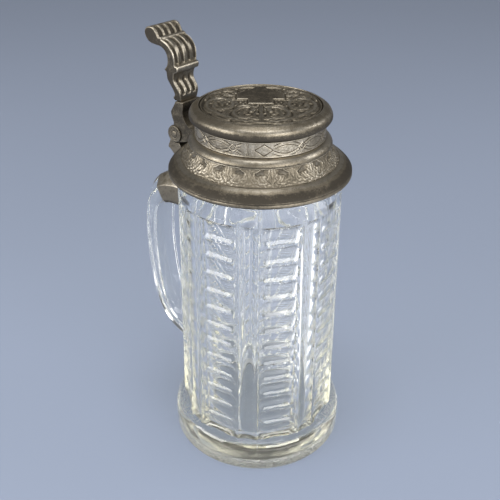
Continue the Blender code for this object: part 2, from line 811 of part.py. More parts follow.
def thumb_front_share(height_share):
    """How far back the front edge lies at a height, read along its points."""
    for (near_x, near_z), (far_x, far_z) in zip(THUMB_FRONT_SHARES, THUMB_FRONT_SHARES[1:]):
        if near_z <= height_share <= far_z:
            return lerp(near_x, far_x, (height_share - near_z) / (far_z - near_z))
    return THUMB_FRONT_SHARES[-1][0]


def groove_tube(height_shares, width_share):
    """Rings of a tube that follows the front edge and cuts one groove."""
    path = []
    for height_share in height_shares:
        x, z = thumb_place(thumb_front_share(height_share), height_share)
        path.append(Vector((x, 0.0, z)))
    rings = []
    for index, centre in enumerate(path):
        along = (path[min(index + 1, len(path) - 1)] - path[max(index - 1, 0)]).normalized()
        outward = Vector((-along.z, 0.0, along.x))
        middle = centre + outward * (THUMB_GROOVE_RADIUS - THUMB_GROOVE_DEPTH)
        middle.y = width_share * thumb_half_width(centre.z)
        ring = []
        for side in range(GROOVE_SIDES):
            angle = (side + 0.5) * math.tau / GROOVE_SIDES
            across = outward * (THUMB_GROOVE_RADIUS * math.cos(angle))
            ring.append(middle + across + Vector((0.0, THUMB_GROOVE_RADIUS * math.sin(angle), 0.0)))
        rings.append(ring)
    return rings


def spread_shares(count, reach):
    """Places across the width, evenly spaced and symmetric."""
    return [lerp(-reach, reach, index / (count - 1)) for index in range(count)]


def curl_flute_cutter(collection):
    """Flattened balls that hollow the front of the curl."""
    form = bmesh.new()
    x, z = thumb_place(*CURL_CENTRE_SHARES)
    reach = CURL_FLUTE_REACH_SHARE * THUMB_HEIGHT
    outward = Vector((math.cos(CURL_FLUTE_LIFT), 0.0, math.sin(CURL_FLUTE_LIFT)))
    turn = Matrix.Rotation(math.pi / 2 - CURL_FLUTE_LIFT, 4, "Y")
    half_length = reach * CURL_FLUTE_LENGTH_SHARE
    pitch = THUMB_TOP_WIDTH * CURL_FLUTE_SPREAD_SHARE / THUMB_REED_COUNT
    for index in range(THUMB_REED_COUNT):
        y = (index - (THUMB_REED_COUNT - 1) / 2) * pitch
        place = Matrix.Translation(Vector((x, y, z)) + outward * reach) @ turn
        scale = Matrix.Diagonal((half_length, pitch * CURL_FLUTE_WIDTH_SHARE, THUMB_FLUTE_DEPTH, 1.0))
        bmesh.ops.create_uvsphere(
            form, u_segments=OVAL_SIDES, v_segments=GROOVE_SIDES, radius=1.0, matrix=place @ scale
        )
    mesh = bpy.data.meshes.new("curl_flute_cutter")
    form.to_mesh(mesh)
    form.free()
    return as_cutter(add_object("curl_flute_cutter", mesh, collection))


def thumb_lift(parts, cutters):
    shares = THUMB_FRONT_SHARES + THUMB_CURL_SHARES + THUMB_BACK_SHARES
    lift = plate("thumb_lift", [thumb_place(*pair) for pair in shares], THUMB_TOP_WIDTH / 2, parts)
    for vertex in lift.data.vertices:
        vertex.co.y = math.copysign(thumb_half_width(vertex.co.z), vertex.co.y)
    reed_places = spread_shares(THUMB_REED_COUNT, REED_SPREAD_SHARE)
    finger_places = spread_shares(THUMB_FINGER_COUNT, FINGER_SPREAD_SHARE)
    reeds = [groove_tube(REED_GROOVE_SHARES, share) for share in reed_places]
    fingers = [groove_tube(FINGER_GROOVE_SHARES, share) for share in finger_places]
    boolean(lift, as_cutter(loft("thumb_grooves", reeds + fingers, cutters)))
    boolean(lift, curl_flute_cutter(cutters))
    return pewter(lift)


# Lid


def bead_and_ovolo():
    """Outer edge of the flange, from the ovolo's top down to the lid's underside."""
    ovolo = quarter(OVOLO_TOP_RADIUS, BEAD_TOP, OVOLO_REACH, OVOLO_HEIGHT, 1, 0)
    half = BEAD_HEIGHT / 2
    bead = arc(
        FLANGE_RADIUS - half, BEAD_TOP - half, half, half, BEAD_ARC_FROM, -math.pi / 2, BEAD_STEPS
    )
    return ovolo + bead


def lid_envelope(clearance):
    """The whole lid's outline, grown by a clearance, for the bracket that is fitted to it."""
    neck = RING_BORE + STRAPWORK_PROJECTION + clearance
    waist = RING_BORE + WAIST_PROJECTION + clearance
    ovolo = quarter(OVOLO_TOP_RADIUS, BEAD_TOP, OVOLO_REACH + clearance, OVOLO_HEIGHT + clearance, 1, 0)
    return [
        (0.0, CROWN_TOP),
        (neck, CROWN_TOP),
        (neck, WAIST_TOP + clearance),
        (waist, WAIST_TOP + clearance),
        (waist, WAIST_BASE),
        (FOLIAGE_TOP_RADIUS + clearance, FOLIAGE_TOP + clearance),
        (FOLIAGE_BASE_RADIUS + clearance, FOLIAGE_BASE + clearance),
        *ovolo,
        (FLANGE_RADIUS + clearance, LID_UNDERSIDE - clearance),
        (0.0, LID_UNDERSIDE - clearance),
    ]


def lid_shell(parts):
    """Flange and hollow drum in one casting, with a seat for every ring."""
    inset = FOLIAGE_THICKNESS + SEAT_GAP
    mouth = LOCATING_RADIUS + SEAT_GAP
    outer = [(0.0, DRUM_TOP), (DRUM_RADIUS, DRUM_TOP), (DRUM_RADIUS, FOLIAGE_TOP)]
    outer += [
        (FOLIAGE_TOP_RADIUS - inset, FOLIAGE_TOP),
        (FOLIAGE_BASE_RADIUS - inset, FOLIAGE_BASE - SEAT_GAP),
        (FOLIAGE_BASE_RADIUS, FOLIAGE_BASE - SEAT_GAP),
    ]
    seat_top = LID_UNDERSIDE + LOCATING_OVERLAP
    inner = [
        (mouth, LID_UNDERSIDE),
        (mouth, seat_top),
        (OVOLO_TOP_RADIUS, seat_top),
        (OVOLO_TOP_RADIUS, OVOLO_TOP - LID_WALL),
        (FOLIAGE_BASE_RADIUS - inset - LID_WALL, OVOLO_TOP - LID_WALL),
        (FOLIAGE_TOP_RADIUS - inset - LID_WALL, FOLIAGE_TOP - LID_WALL),
        (DRUM_RADIUS - LID_WALL, FOLIAGE_TOP - LID_WALL),
        (DRUM_RADIUS - LID_WALL, DRUM_TOP - LID_WALL),
        (0.0, DRUM_TOP - LID_WALL),
    ]
    return pewter(turned("lid_shell", outer + bead_and_ovolo() + inner, parts))


def lid_locating_ring(parts):
    low = RIM_HEIGHT - LOCATING_DEPTH
    high = LID_UNDERSIDE + LOCATING_OVERLAP
    inner = LOCATING_RADIUS - LOCATING_THICKNESS
    outline = [
        (LOCATING_RADIUS, high),
        (LOCATING_RADIUS, low + LOCATING_THICKNESS / 2),
        (LOCATING_RADIUS - LOCATING_THICKNESS / 2, low),
        (inner, low),
        (inner, high),
    ]
    return pewter(turned("lid_locating_ring", outline, parts, closed=True))


def lid_foliage_band(parts):
    outline = []
    for reach, drop in FOLIAGE_SHARES:
        radius = lerp(FOLIAGE_TOP_RADIUS, FOLIAGE_BASE_RADIUS, reach)
        outline.append((radius, lerp(FOLIAGE_TOP, FOLIAGE_BASE, drop)))
    outline.append((FOLIAGE_BASE_RADIUS - FOLIAGE_THICKNESS, FOLIAGE_BASE))
    outline.append((FOLIAGE_TOP_RADIUS - FOLIAGE_THICKNESS, FOLIAGE_TOP))
    return pewter(turned("lid_foliage_band", outline, parts, closed=True))


def lid_waist_ring(parts):
    """A moulding that swells low down and draws in at the top."""
    top_radius = RING_BORE + WAIST_TOP_PROJECTION
    low = WAIST_BASE + WAIST_HEIGHT * WAIST_SWELL_SHARE
    swell = WAIST_PROJECTION - WAIST_TOP_PROJECTION
    outline = quarter(top_radius, low, swell, WAIST_TOP - low, 1, 0)
    outline += quarter(top_radius, low, swell, low - WAIST_BASE, 0, -1)[1:3]
    outline.append((top_radius + swell * WAIST_UNDERCUT_SHARE, WAIST_BASE))
    outline.append((RING_BORE, WAIST_BASE))
    outline.append((RING_BORE, WAIST_TOP))
    return pewter(turned("lid_waist_ring", outline, parts, closed=True))


def lid_strapwork_band(parts):
    outer = RING_BORE + STRAPWORK_PROJECTION
    outline = [
        (outer, STRAPWORK_TOP),
        (outer, STRAPWORK_BASE),
        (RING_BORE, STRAPWORK_BASE),
        (RING_BORE, STRAPWORK_TOP),
    ]
    return pewter(turned("lid_strapwork_band", outline, parts, closed=True))


def lid_crown_ring(parts):
    """The top moulding: a bevelled upper face, a ridge and a round belly drawn in below."""
    outline = [
        (RING_BORE + CROWN_PROJECTION * reach, CROWN_BASE + CROWN_HEIGHT * height)
        for reach, height in CROWN_TOP_SHARES
    ]
    belly = CROWN_PROJECTION * CROWN_BELLY_REACH_SHARE
    outline += arc(
        RING_BORE + CROWN_PROJECTION - belly,
        CROWN_BASE + CROWN_HEIGHT * CROWN_BELLY_CENTRE_SHARE,
        belly,
        CROWN_HEIGHT * CROWN_BELLY_HEIGHT_SHARE,
        CROWN_BELLY_FROM,
        CROWN_BELLY_TO,
        BELLY_STEPS,
    )
    outline += [(RING_BORE + STRAPWORK_PROJECTION * CROWN_NECK_SHARE, CROWN_BASE), (RING_BORE, CROWN_BASE)]
    return pewter(turned("lid_crown_ring", outline, parts, closed=True))


def lid_relief_disc(parts):
    """The plate on the drum, with a low rim round a slightly sunken field."""
    base = DRUM_TOP + SEAT_GAP
    outline = [(DRUM_RADIUS * radius, base + DISC_THICKNESS * height) for radius, height in DISC_SHARES]
    return pewter(turned("lid_relief_disc", outline, parts))


def hang_on_axis(pieces, parts):
    """Parent the moving pieces to an empty on the hinge axis, without moving them."""
    axis = bpy.data.objects.new("lid_hinge_axis", None)
    axis.location = (PIN_X, 0.0, PIN_Z)
    parts.objects.link(axis)
    bpy.context.view_layer.update()
    for piece in pieces:
        piece.parent = axis
        piece.matrix_parent_inverse = axis.matrix_world.inverted()


def build():
    clear_scene()
    parts = make_collection("beer_stein")
    cutters = make_collection("cutters")
    glass_body(parts, cutters)
    glass_handle(parts, cutters)
    handle_strap(parts, cutters)
    hinge_shank(parts, cutters)
    hinge_pin(parts)
    moving = [
        lid_shell(parts),
        lid_locating_ring(parts),
        lid_foliage_band(parts),
        lid_waist_ring(parts),
        lid_strapwork_band(parts),
        lid_crown_ring(parts),
        lid_relief_disc(parts),
        lid_bracket(parts, cutters),
        hinge_rosette("hinge_rosette_left", 1, parts),
        hinge_rosette("hinge_rosette_right", -1, parts),
        thumb_lift(parts, cutters),
    ]
    hang_on_axis(moving, parts)


build()
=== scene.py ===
import math

import bmesh
import bpy
import numpy as np
from mathutils import Matrix, Vector


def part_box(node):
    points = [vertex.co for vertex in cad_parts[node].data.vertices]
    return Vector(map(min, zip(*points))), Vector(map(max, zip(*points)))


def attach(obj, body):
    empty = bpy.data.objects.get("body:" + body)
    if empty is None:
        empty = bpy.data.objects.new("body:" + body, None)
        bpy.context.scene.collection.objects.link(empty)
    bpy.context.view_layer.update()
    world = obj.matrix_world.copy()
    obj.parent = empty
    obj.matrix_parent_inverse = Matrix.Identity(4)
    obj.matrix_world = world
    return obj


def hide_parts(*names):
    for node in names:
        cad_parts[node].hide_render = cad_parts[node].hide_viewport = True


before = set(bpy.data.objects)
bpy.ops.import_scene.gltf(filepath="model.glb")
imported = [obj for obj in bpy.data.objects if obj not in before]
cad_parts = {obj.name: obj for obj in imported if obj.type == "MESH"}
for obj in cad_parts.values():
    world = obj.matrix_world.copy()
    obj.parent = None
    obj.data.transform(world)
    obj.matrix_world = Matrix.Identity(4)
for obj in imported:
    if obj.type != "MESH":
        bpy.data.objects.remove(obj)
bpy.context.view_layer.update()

bl_info = {
    "name": "Beer stein dressing",
    "version": (1, 0, 0),
    "blender": (4, 5, 0),
    "location": "3D View > Sidebar > Stein",
    "description": "Pressed glass mug, pewter lid, hinge and thumb lift, built round the packed frame",
    "category": "Object",
}

# Length unit, full turn, distance within which points merge, and the gap kept where real pieces touch
MM = 0.001
TURN = math.tau
WELD = 0.000002
SEAT = 0.3 * MM

# Places read from the frame
GLASS_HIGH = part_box("glass_body")[1]
HANDLE_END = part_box("glass_handle")[1].x
PIN_LOW, PIN_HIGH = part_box("hinge_pin")
SHELL_LOW, SHELL_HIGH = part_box("lid_shell")
DISC_LOW, DISC_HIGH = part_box("lid_relief_disc")
THUMB_LOW, THUMB_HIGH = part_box("thumb_lift")
RIM_HEIGHT = GLASS_HIGH.z
FOOT_RADIUS = GLASS_HIGH.x
PIN_X = (PIN_LOW.x + PIN_HIGH.x) / 2
PIN_Z = (PIN_LOW.z + PIN_HIGH.z) / 2
LID_UNDERSIDE = SHELL_LOW.z
DRUM_TOP = SHELL_HIGH.z

# Glass wall, rim, foot with its flat ring and the slope into the recess under it, and floor
RIM_RADIUS = 41.7 * MM
ROOT_RADIUS = 43.6 * MM
BORE_RIM = 36.6 * MM
BORE_ROOT = 35.5 * MM
RIM_ROUNDING = 1.6 * MM
RIM_BAND_END = 1.2 * MM
FOOT_TOP = 18.0 * MM
FOOT_BAND = 10.0 * MM
FOOT_EDGE = 2.0 * MM
FOOT_RING = 4.5 * MM
KICK_SLOPE = 4.0 * MM
FLOOR_CORNER = 7.0 * MM
WITHIN_WALL = BORE_RIM + 3.0 * MM

# Mesh of the pattern: columns in a panel and how they gather, rows in an oval and the share inside its rim
PANEL_COLUMNS = 46
COLUMN_SHARES = (0.0, 4 / 23, 12 / 23, 17 / 23, 1.0)
COLUMN_PLACES = (0.0, 0.38, 0.64, 0.725, 1.0)
OVAL_ROWS = 14
RIM_ROW = 10 / OVAL_ROWS
ROW_POWER = 0.75

# Ovals: length of the round ends and least height there, as shares of the half height, and shape of the bowl
OVAL_CAP = 0.7
OVAL_END = 0.35
BOWL_POWER = 2.5

# Where the pattern starts over the foot and ends at the rim band
PATTERN_SLACK = 0.01 * MM
FOOT_FADE = 1.0 * MM
TOP_FADE_LOW = 0.6 * MM
TOP_FADE_HIGH = 0.8 * MM

# Mould seam: panels and angle from the first panel, and its width
SEAM_PANELS = 2.5
SEAM_TURN = math.radians(7.2)
SEAM_WIDTH = 0.35 * MM

# Hinge sizes that the CAD nodes share, and how far the tools that cut it reach past its ends
HINGE_WIDTH = 13.0 * MM
HINGE_RINGS = 5
RING_WIDTH = (HINGE_WIDTH - SEAT * (HINGE_RINGS - 1)) / HINGE_RINGS
LID_RING_RADIUS = 4.8 * MM
SHANK_RING_RADIUS = 4.6 * MM
RING_CLEARANCE = 0.4 * MM
PIN_RADIUS = 1.5 * MM
PIN_BORE = 1.6 * MM
CUT_OVERRUN = 2.0 * MM
ROSETTE_RADIUS = 4.5 * MM
ROSETTE_HEIGHT = 1.0 * MM

# Lid sizes that the CAD nodes share, from the flange up
FLANGE_RADIUS = RIM_RADIUS + 4.2 * MM
FLANGE_BEAD = 1.4 * MM
SHELL_WALL = 1.4 * MM
BAND_THICKNESS = 1.2 * MM
BEAD_TOP = LID_UNDERSIDE + 2.8 * MM
OVOLO_TOP = BEAD_TOP + 4.3 * MM
OVOLO_TOP_RADIUS = FLANGE_RADIUS - 4.2 * MM
FOLIAGE_BASE = OVOLO_TOP + 0.9 * MM
FOLIAGE_BASE_RADIUS = OVOLO_TOP_RADIUS - 2.2 * MM
FOLIAGE_TOP = FOLIAGE_BASE + 7.3 * MM
FOLIAGE_TOP_RADIUS = FOLIAGE_BASE_RADIUS - 4.6 * MM
DRUM_RADIUS = FOLIAGE_TOP_RADIUS - 5.3 * MM
RING_BORE = DRUM_RADIUS + SEAT
WAIST_BASE = FOLIAGE_TOP + SEAT
WAIST_TOP = WAIST_BASE + 3.6 * MM
WAIST_RADIUS = RING_BORE + 6.0 * MM
STRAPWORK_BASE = WAIST_TOP + SEAT
STRAPWORK_TOP = STRAPWORK_BASE + 7.2 * MM
STRAPWORK_RADIUS = RING_BORE + 2.2 * MM
CROWN_BASE = STRAPWORK_TOP + SEAT
CROWN_TOP = CROWN_BASE + 7.5 * MM
CROWN_REACH = 4.9 * MM
LOCATING_RADIUS = BORE_RIM - 1.3 * MM
LOCATING_WALL = 1.6 * MM
LOCATING_DROP = 4.5 * MM
LOCATING_RISE = 3.0 * MM
LOCATING_CHAMFER = 0.8 * MM

# Where the pairs of leaves, the strapwork's ovals and the strapwork's seam stand round the axis
FOLIAGE_TURN = math.radians(4.8)
STRAPWORK_TURN = math.radians(29.0)
STRAPWORK_SEAM = math.radians(130.0)

# Flange's slope in millimetres out from the foliage band's foot and up from the ovolo's top
FLANGE_SLOPE = ((0.0, 0.6), (1.1, 0.15), (2.3, -0.45), (3.5, -1.25), (4.7, -2.3), (5.7, -3.4), (6.3, -4.3))

# Waist ring in millimetres out from its bore and shares of its height; crown ring in shares both ways
WAIST_SLOPE = ((2.3, 1.0), (3.1, 0.93), (4.1, 0.74), (4.9, 0.5), (5.4, 0.25), (5.4, 0.08), (5.0, 0.0))
CROWN_SHARES = (
    (0.3, 0.92), (0.62, 0.79), (0.82, 0.67), (0.94, 0.52), (0.99, 0.4), (1.0, 0.32), (0.97, 0.22),
    (0.86, 0.12),
)
CROWN_NECK = (0.38, 0.06)

# Painted highlight and shade on the shell, waist and crown rings, in bands by height in millimetres over
# their feet, and one plain level for the locating ring: 0 is dark film and 1 is bright
SHELL_PAINTED_LIGHT = (
    (0.0, 0.2), (1.6, 0.3), (2.7, -0.1), (4.2, -0.4), (5.8, -0.2), (6.5, 0.3), (7.0, 0.7), (7.8, 0.9),
)
WAIST_PAINTED_LIGHT = ((0.0, 0.1), (0.9, 0.2), (1.8, 0.6), (3.6, 1.0))
CROWN_PAINTED_LIGHT = ((0.0, -0.2), (3.4, -0.1), (4.3, 0.4), (4.9, 0.65), (5.6, 0.65), (6.1, 0.4), (7.5, 0.4))
LOCATING_WEAR = ((0.0, 0.4),)

# Foliage band's face from its top out and down, and the disc's rim outwards and up, as shares
FOLIAGE_SWEEP = ((0.0, 0.0), (0.35, 0.45), (0.75, 0.82), (1.0, 1.0))
DISC_RIM = ((0.967, 0.62), (0.973, 0.78), (0.982, 0.8), (0.988, 0.72), (1.0, 0.2), (1.0, 0.0))

# Half section of a rosette, as shares of its radius and height
ROSETTE_SHARES = (
    (0.0, 1.0), (0.14, 0.98), (0.28, 0.9), (0.38, 0.76), (0.41, 0.62), (0.46, 0.62), (0.5, 0.7),
    (0.68, 0.7), (0.71, 0.64), (0.74, 0.7), (0.86, 0.72), (0.95, 0.66), (1.0, 0.45), (1.0, 0.0),
    (0.0, 0.0),
)

# Handle: reach from the wall, height and thickening towards the root, station by station
HANDLE_TOP = RIM_HEIGHT - 23.2 * MM
HANDLE_FOOT = 39.5 * MM
HANDLE_REACH = 32.6 * MM
HANDLE_WIDTH = 17.4 * MM
HANDLE_GRIP = 10.4 * MM
HANDLE_ROOT = 15.2 * MM
HANDLE_SHARES = (
    (-0.11, 1.0, 1.0), (0.13, 1.002, 0.96), (0.35, 0.998, 0.84), (0.55, 0.983, 0.65), (0.73, 0.949, 0.38),
    (0.868, 0.897, 0.17), (0.948, 0.831, 0.06), (0.985, 0.754, 0.01), (1.0, 0.662, 0.0),
    (0.997, 0.559, 0.0), (0.972, 0.456, 0.0), (0.936, 0.359, 0.0), (0.877, 0.262, 0.0),
    (0.788, 0.174, 0.01), (0.653, 0.103, 0.03), (0.469, 0.052, 0.08), (0.27, 0.024, 0.17),
    (0.086, 0.008, 0.34), (-0.11, 0.0, 0.53),
)
HANDLE_SECTION = (
    (1.0, 0.45), (0.3, 1.0), (-0.75, 1.0), (-1.0, 0.85), (-1.0, -0.85), (-0.75, -1.0), (0.3, -1.0),
    (1.0, -0.45),
)
HANDLE_EDGE = 1.1 * MM

# Strap on the handle and its tongue: the stations that they take up, and the tongue's widths as shares
STRAP_STATIONS = (0.9, 3.55)
TONGUE_STATIONS = (3.2, 5.7)
STRAP_THICKNESS = 1.2 * MM
TONGUE_TIP = 0.1
TONGUE_THICKNESS = 1.0 * MM
TONGUE_TOP = 0.8

# Outlines of the shank and the bracket, as shares, and of the thumb lift's front, curl and back
SHANK_FRONT = ((0.36, -0.12), (0.34, 0.09), (0.4, 0.31), (0.52, 0.52), (0.66, 0.74))
SHANK_LEAF = (
    (1.44, 0.76), (1.55, 0.64), (1.38, 0.58), (1.15, 0.475), (0.98, 0.35), (0.92, 0.24), (1.05, 0.12),
    (1.4, 0.02), (1.5, -0.12),
)
BRACKET_FRONT = (
    (0.45, -0.15), (1.0, -0.1), (1.0, 0.28), (0.74, 0.27), (0.56, 0.31), (0.445, 0.4), (0.35, 0.56),
    (0.32, 0.72), (0.35, 0.86), (0.35, 1.0),
)
BRACKET_BACK = ((-0.6, 1.0), (0.0, 0.87), (0.86, 0.7), (1.0, 0.625), (0.73, 0.49), (0.3, 0.36))
BRACKET_REACH = 18.0 * MM
BRACKET_DEPTH = 2.2 * MM
BRACKET_RISE = 17.9 * MM
THUMB_FRONT = (
    (0.02, 0.0), (0.0, 0.066), (0.0, 0.116), (0.034, 0.168), (0.102, 0.223), (0.16, 0.278),
    (0.165, 0.339), (0.126, 0.394), (0.063, 0.416), (0.034, 0.449), (0.044, 0.488), (0.087, 0.51),
    (0.083, 0.562), (0.092, 0.634), (0.126, 0.697), (0.209, 0.771), (0.345, 0.824), (0.47, 0.851),
)
THUMB_CURL = (
    (0.54, 0.868), (0.573, 0.893), (0.612, 0.934), (0.675, 0.978), (0.772, 1.0), (0.883, 0.992),
    (0.966, 0.961), (1.0, 0.912), (0.985, 0.857), (0.917, 0.802), (0.811, 0.771),
)
THUMB_BACK = (
    (0.641, 0.76), (0.495, 0.747), (0.383, 0.705), (0.325, 0.645), (0.316, 0.567), (0.35, 0.504),
    (0.403, 0.463), (0.451, 0.43), (0.398, 0.402), (0.393, 0.35), (0.383, 0.3), (0.325, 0.24),
    (0.257, 0.179), (0.214, 0.124), (0.204, 0.085), (0.267, 0.041), (0.238, 0.0),
)

# Mesh steps from one station of the lift's outline to the next
LIFT_STEPS = 5

# Grooves across the lift's front: the stations where they fade in and out, their middles and their half width
LIFT_GROOVES = (
    (11.2, 11.8, 16.3, 16.9, (-0.8, -0.28, 0.24, 0.78), 0.15),
    (1.4, 2.0, 3.6, 6.4, (-0.52, 0.04, 0.6), 0.18),
    (17.9, 18.5, 22.0, 23.2, (-0.69, -0.23, 0.23, 0.69), 0.17),
)

# Ribbon bar and crossbar of the lift: station, reach in stations, and height
LIFT_BARS = ((17.4, 0.6, 0.7 * MM), (9.6, 1.5, 0.7 * MM))

# Powers by which the lift widens upwards and its columns gather at its sides, and the rounding of its side
# edges with the width that it takes up
LIFT_FLARE = 0.6
LIFT_GATHER = 1.15
LIFT_ROUNDING = 0.35 * MM
ROUNDED_WIDTH = 0.5 * MM

# Angles in degrees past which edges stay sharp
GLASS_CREASE = 26.0
SOFTENED_CREASE = 50.0
LIFT_CREASE = 55.0
TURNED_CREASE = 60.0

# Area past which a flat face gets a border of its own, and the border's width on the hinge and on the lift
LARGE_FLAT = 15.0 * MM * MM
FLAT_BORDER = 0.4 * MM
LIFT_BORDER = 0.5 * MM

# Depth under a relief's face within which points belong to it
FACE_DEPTH = 0.3 * MM

# Disc, as shares of its radius: its field, the last points that carry scrolls, and the start of its dark side
DISC_FIELD = 0.962
FIELD_END = 0.964
DISC_SIDE = 0.992

# Share of the plaque's depth that its side arms take
PLAQUE_BAR = 0.36


# Sizes and colours that a user may change


def length(name, description, default):
    return bpy.props.FloatProperty(
        name=name, description=description, default=default, unit="LENGTH", subtype="DISTANCE"
    )


def share(name, description, default):
    return bpy.props.FloatProperty(
        name=name, description=description, default=default, min=0.0, max=1.0, subtype="FACTOR"
    )


def amount(name, description, default, unit="NONE"):
    return bpy.props.FloatProperty(name=name, description=description, default=default, min=0.0, unit=unit)


def angle(name, description, default):
    return bpy.props.FloatProperty(
        name=name, description=description, default=math.radians(default), subtype="ANGLE"
    )


def count(name, description, default):
    return bpy.props.IntProperty(name=name, description=description, default=default, min=1)


def colour(name, description, default):
    return bpy.props.FloatVectorProperty(
        name=name, description=description, default=default, size=3, min=0.0, max=1.0, subtype="COLOR"
    )


class SteinGlassSizes(bpy.types.PropertyGroup):
    panels: count("Panels", "Flat panels round the wall", 8)
    panel_turn: angle("Panel turn", "Azimuth of the first panel", 7.3)
    panel_spread: angle("Panel spread", "Angle that each panel takes up", 28.8)
    panel_top: length("Panel top", "Height at which the pattern ends", RIM_HEIGHT - 12.0 * MM)
    ovals: count("Ovals", "Scooped ovals stacked in each panel", 13)
    oval_depth: length("Oval depth", "Depth of a scooped oval", 1.4 * MM)
    oval_width: share("Oval width", "Width of an oval as a share of its panel", 0.96)
    oval_height: share("Oval height", "Height of an oval as a share of the pitch", 0.9)
    flute_width: length("Flute width", "Width of the hollow in the strip between panels", 7.3 * MM)
    flute_depth: length("Flute depth", "Depth of that hollow below the ribs' edges", 0.9 * MM)
    rib: length("Rib", "Height of the rounded ribs beside each hollow", 0.8 * MM)
    floor: length("Floor", "Thickness of the glass floor", 13.0 * MM)
    kick: length("Kick", "Depth of the recess under the foot", 0.9 * MM)
    kick_radius: length("Kick radius", "Radius of the recess under the foot", 37.0 * MM)
    seam: length("Mould seam", "Height of the seam that the mould leaves", 0.2 * MM)


class SteinLidSizes(bpy.types.PropertyGroup):
    steps: count("Steps", "Facets round a turned ring", 192)
    leaf_pairs: count("Leaf pairs", "Pairs of leaves round the foliage band", 11)
    leaf_depth: length("Leaf depth", "Depth of the foliage carving", 0.65 * MM)
    straps: count("Straps", "Oval repeats round the strapwork band", 12)
    strap_depth: length("Strap depth", "Depth of the strapwork carving", 0.4 * MM)
    disc_depth: length("Disc depth", "Height of the scrollwork on the top disc", 0.95 * MM)
    disc_turn: angle("Disc turn", "Azimuth of the bare plaque's long side", 38.0)
    plaque_width: length("Plaque width", "Long side of the bare plaque", 23.4 * MM)
    plaque_depth: length("Plaque depth", "Short side of the bare plaque", 20.4 * MM)
    plaque_notch: length("Plaque notch", "Length of the step in the plaque's corners", 5.6 * MM)
    plaque_place: length("Plaque place", "How far the plaque stands behind the disc's middle", 10.4 * MM)


class SteinHingeSizes(bpy.types.PropertyGroup):
    edge: length("Edge", "Rounding of the hinge's edges", 0.35 * MM)
    strap: length("Strap", "Thickness of the strap on the handle", STRAP_THICKNESS)
    tongue: length("Tongue", "Width of the tongue along the handle's back", 6.8 * MM)
    thumb_base: length("Lift base", "Width of the thumb lift at its base", 12.2 * MM)
    thumb_top: length("Lift top", "Width of the thumb lift at its curl", 18.8 * MM)
    reed_depth: length("Reed depth", "Depth of the grooves between the reeds", 1.5 * MM)


class SteinFinishes(bpy.types.PropertyGroup):
    # Worn pewter is also the colour of painted highlights, and patina of painted shade, where the relief
    # attribute carries them
    pewter: colour("Pewter", "Plain metal between hollows and worn edges", (0.23, 0.198, 0.148))
    worn: colour("Worn pewter", "Metal rubbed bright on the edges", (0.5, 0.452, 0.37))
    patina: colour("Patina", "Dark film in the hollows", (0.024, 0.019, 0.013))
    stain: colour("Stain", "Brown spots and blotches", (0.1, 0.078, 0.052))
    steel: colour("Pin", "Steel of the hinge pin", (0.4, 0.39, 0.38))
    glass: colour("Glass", "Tint that thick glass takes on", (0.93, 0.9, 0.66))
    density: amount("Glass density", "Strength of the tint in the glass", 6.5)


class SteinStage(bpy.types.PropertyGroup):
    floor: colour("Floor", "Plain pale floor", (0.31, 0.36, 0.47))
    floor_size: length("Floor size", "Side of the floor", 12.0)
    sky: share("Sky", "Brightness of the soft light overhead", 0.12)
    horizon: share("Horizon", "Brightness of the light from the sides", 0.16)
    right: amount("Right lamp", "Power of the lamp on the right", 14.5, "POWER")
    left: amount("Left lamp", "Power of the lamp on the left", 15.0, "POWER")
    side: amount("Side lamp", "Power of the small lamp from the far right", 2.0, "POWER")
    card: amount("Card", "Power of the low white card", 1.0, "POWER")
    top: amount("Top lamp", "Strength of the soft light from overhead", 1.1)
    place: bpy.props.FloatVectorProperty(
        name="Camera place",
        description="Where the camera stands",
        default=(-0.20139, 0.26725, 0.30785),
        unit="LENGTH",
        subtype="TRANSLATION",
    )
    aim: bpy.props.FloatVectorProperty(
        name="Camera aim",
        description="Direction in which the camera looks",
        default=(0.53037, -0.683, -0.50221),
        subtype="DIRECTION",
    )
    roll: angle("Camera roll", "Turn of the camera about its line of sight", 0.304)
    lens: amount("Lens", "Focal length on a 36 mm sensor", 52.04, "CAMERA")


# Shader maths


class Value:
    """A shader socket that takes part in ordinary arithmetic."""

    def __init__(self, graph, socket):
        self.graph = graph
        self.socket = socket

    def maths(self, operation, other):
        return self.graph.value("ShaderNodeMath", {"operation": operation}, (self, other))

    def __add__(self, other):
        return self.maths("ADD", other)

    __radd__ = __add__

    def __mul__(self, other):
        return self.maths("MULTIPLY", other)

    __rmul__ = __mul__

    def __sub__(self, other):
        return self.maths("SUBTRACT", other)

    def __rsub__(self, other):
        return (self * -1.0) + other

    def step(self, low, high):
        """A soft step from 0 to 1 between two values."""
        settings = {"interpolation_type": "SMOOTHSTEP"}
        return self.graph.value("ShaderNodeMapRange", settings, {0: self, 1: low, 2: high})


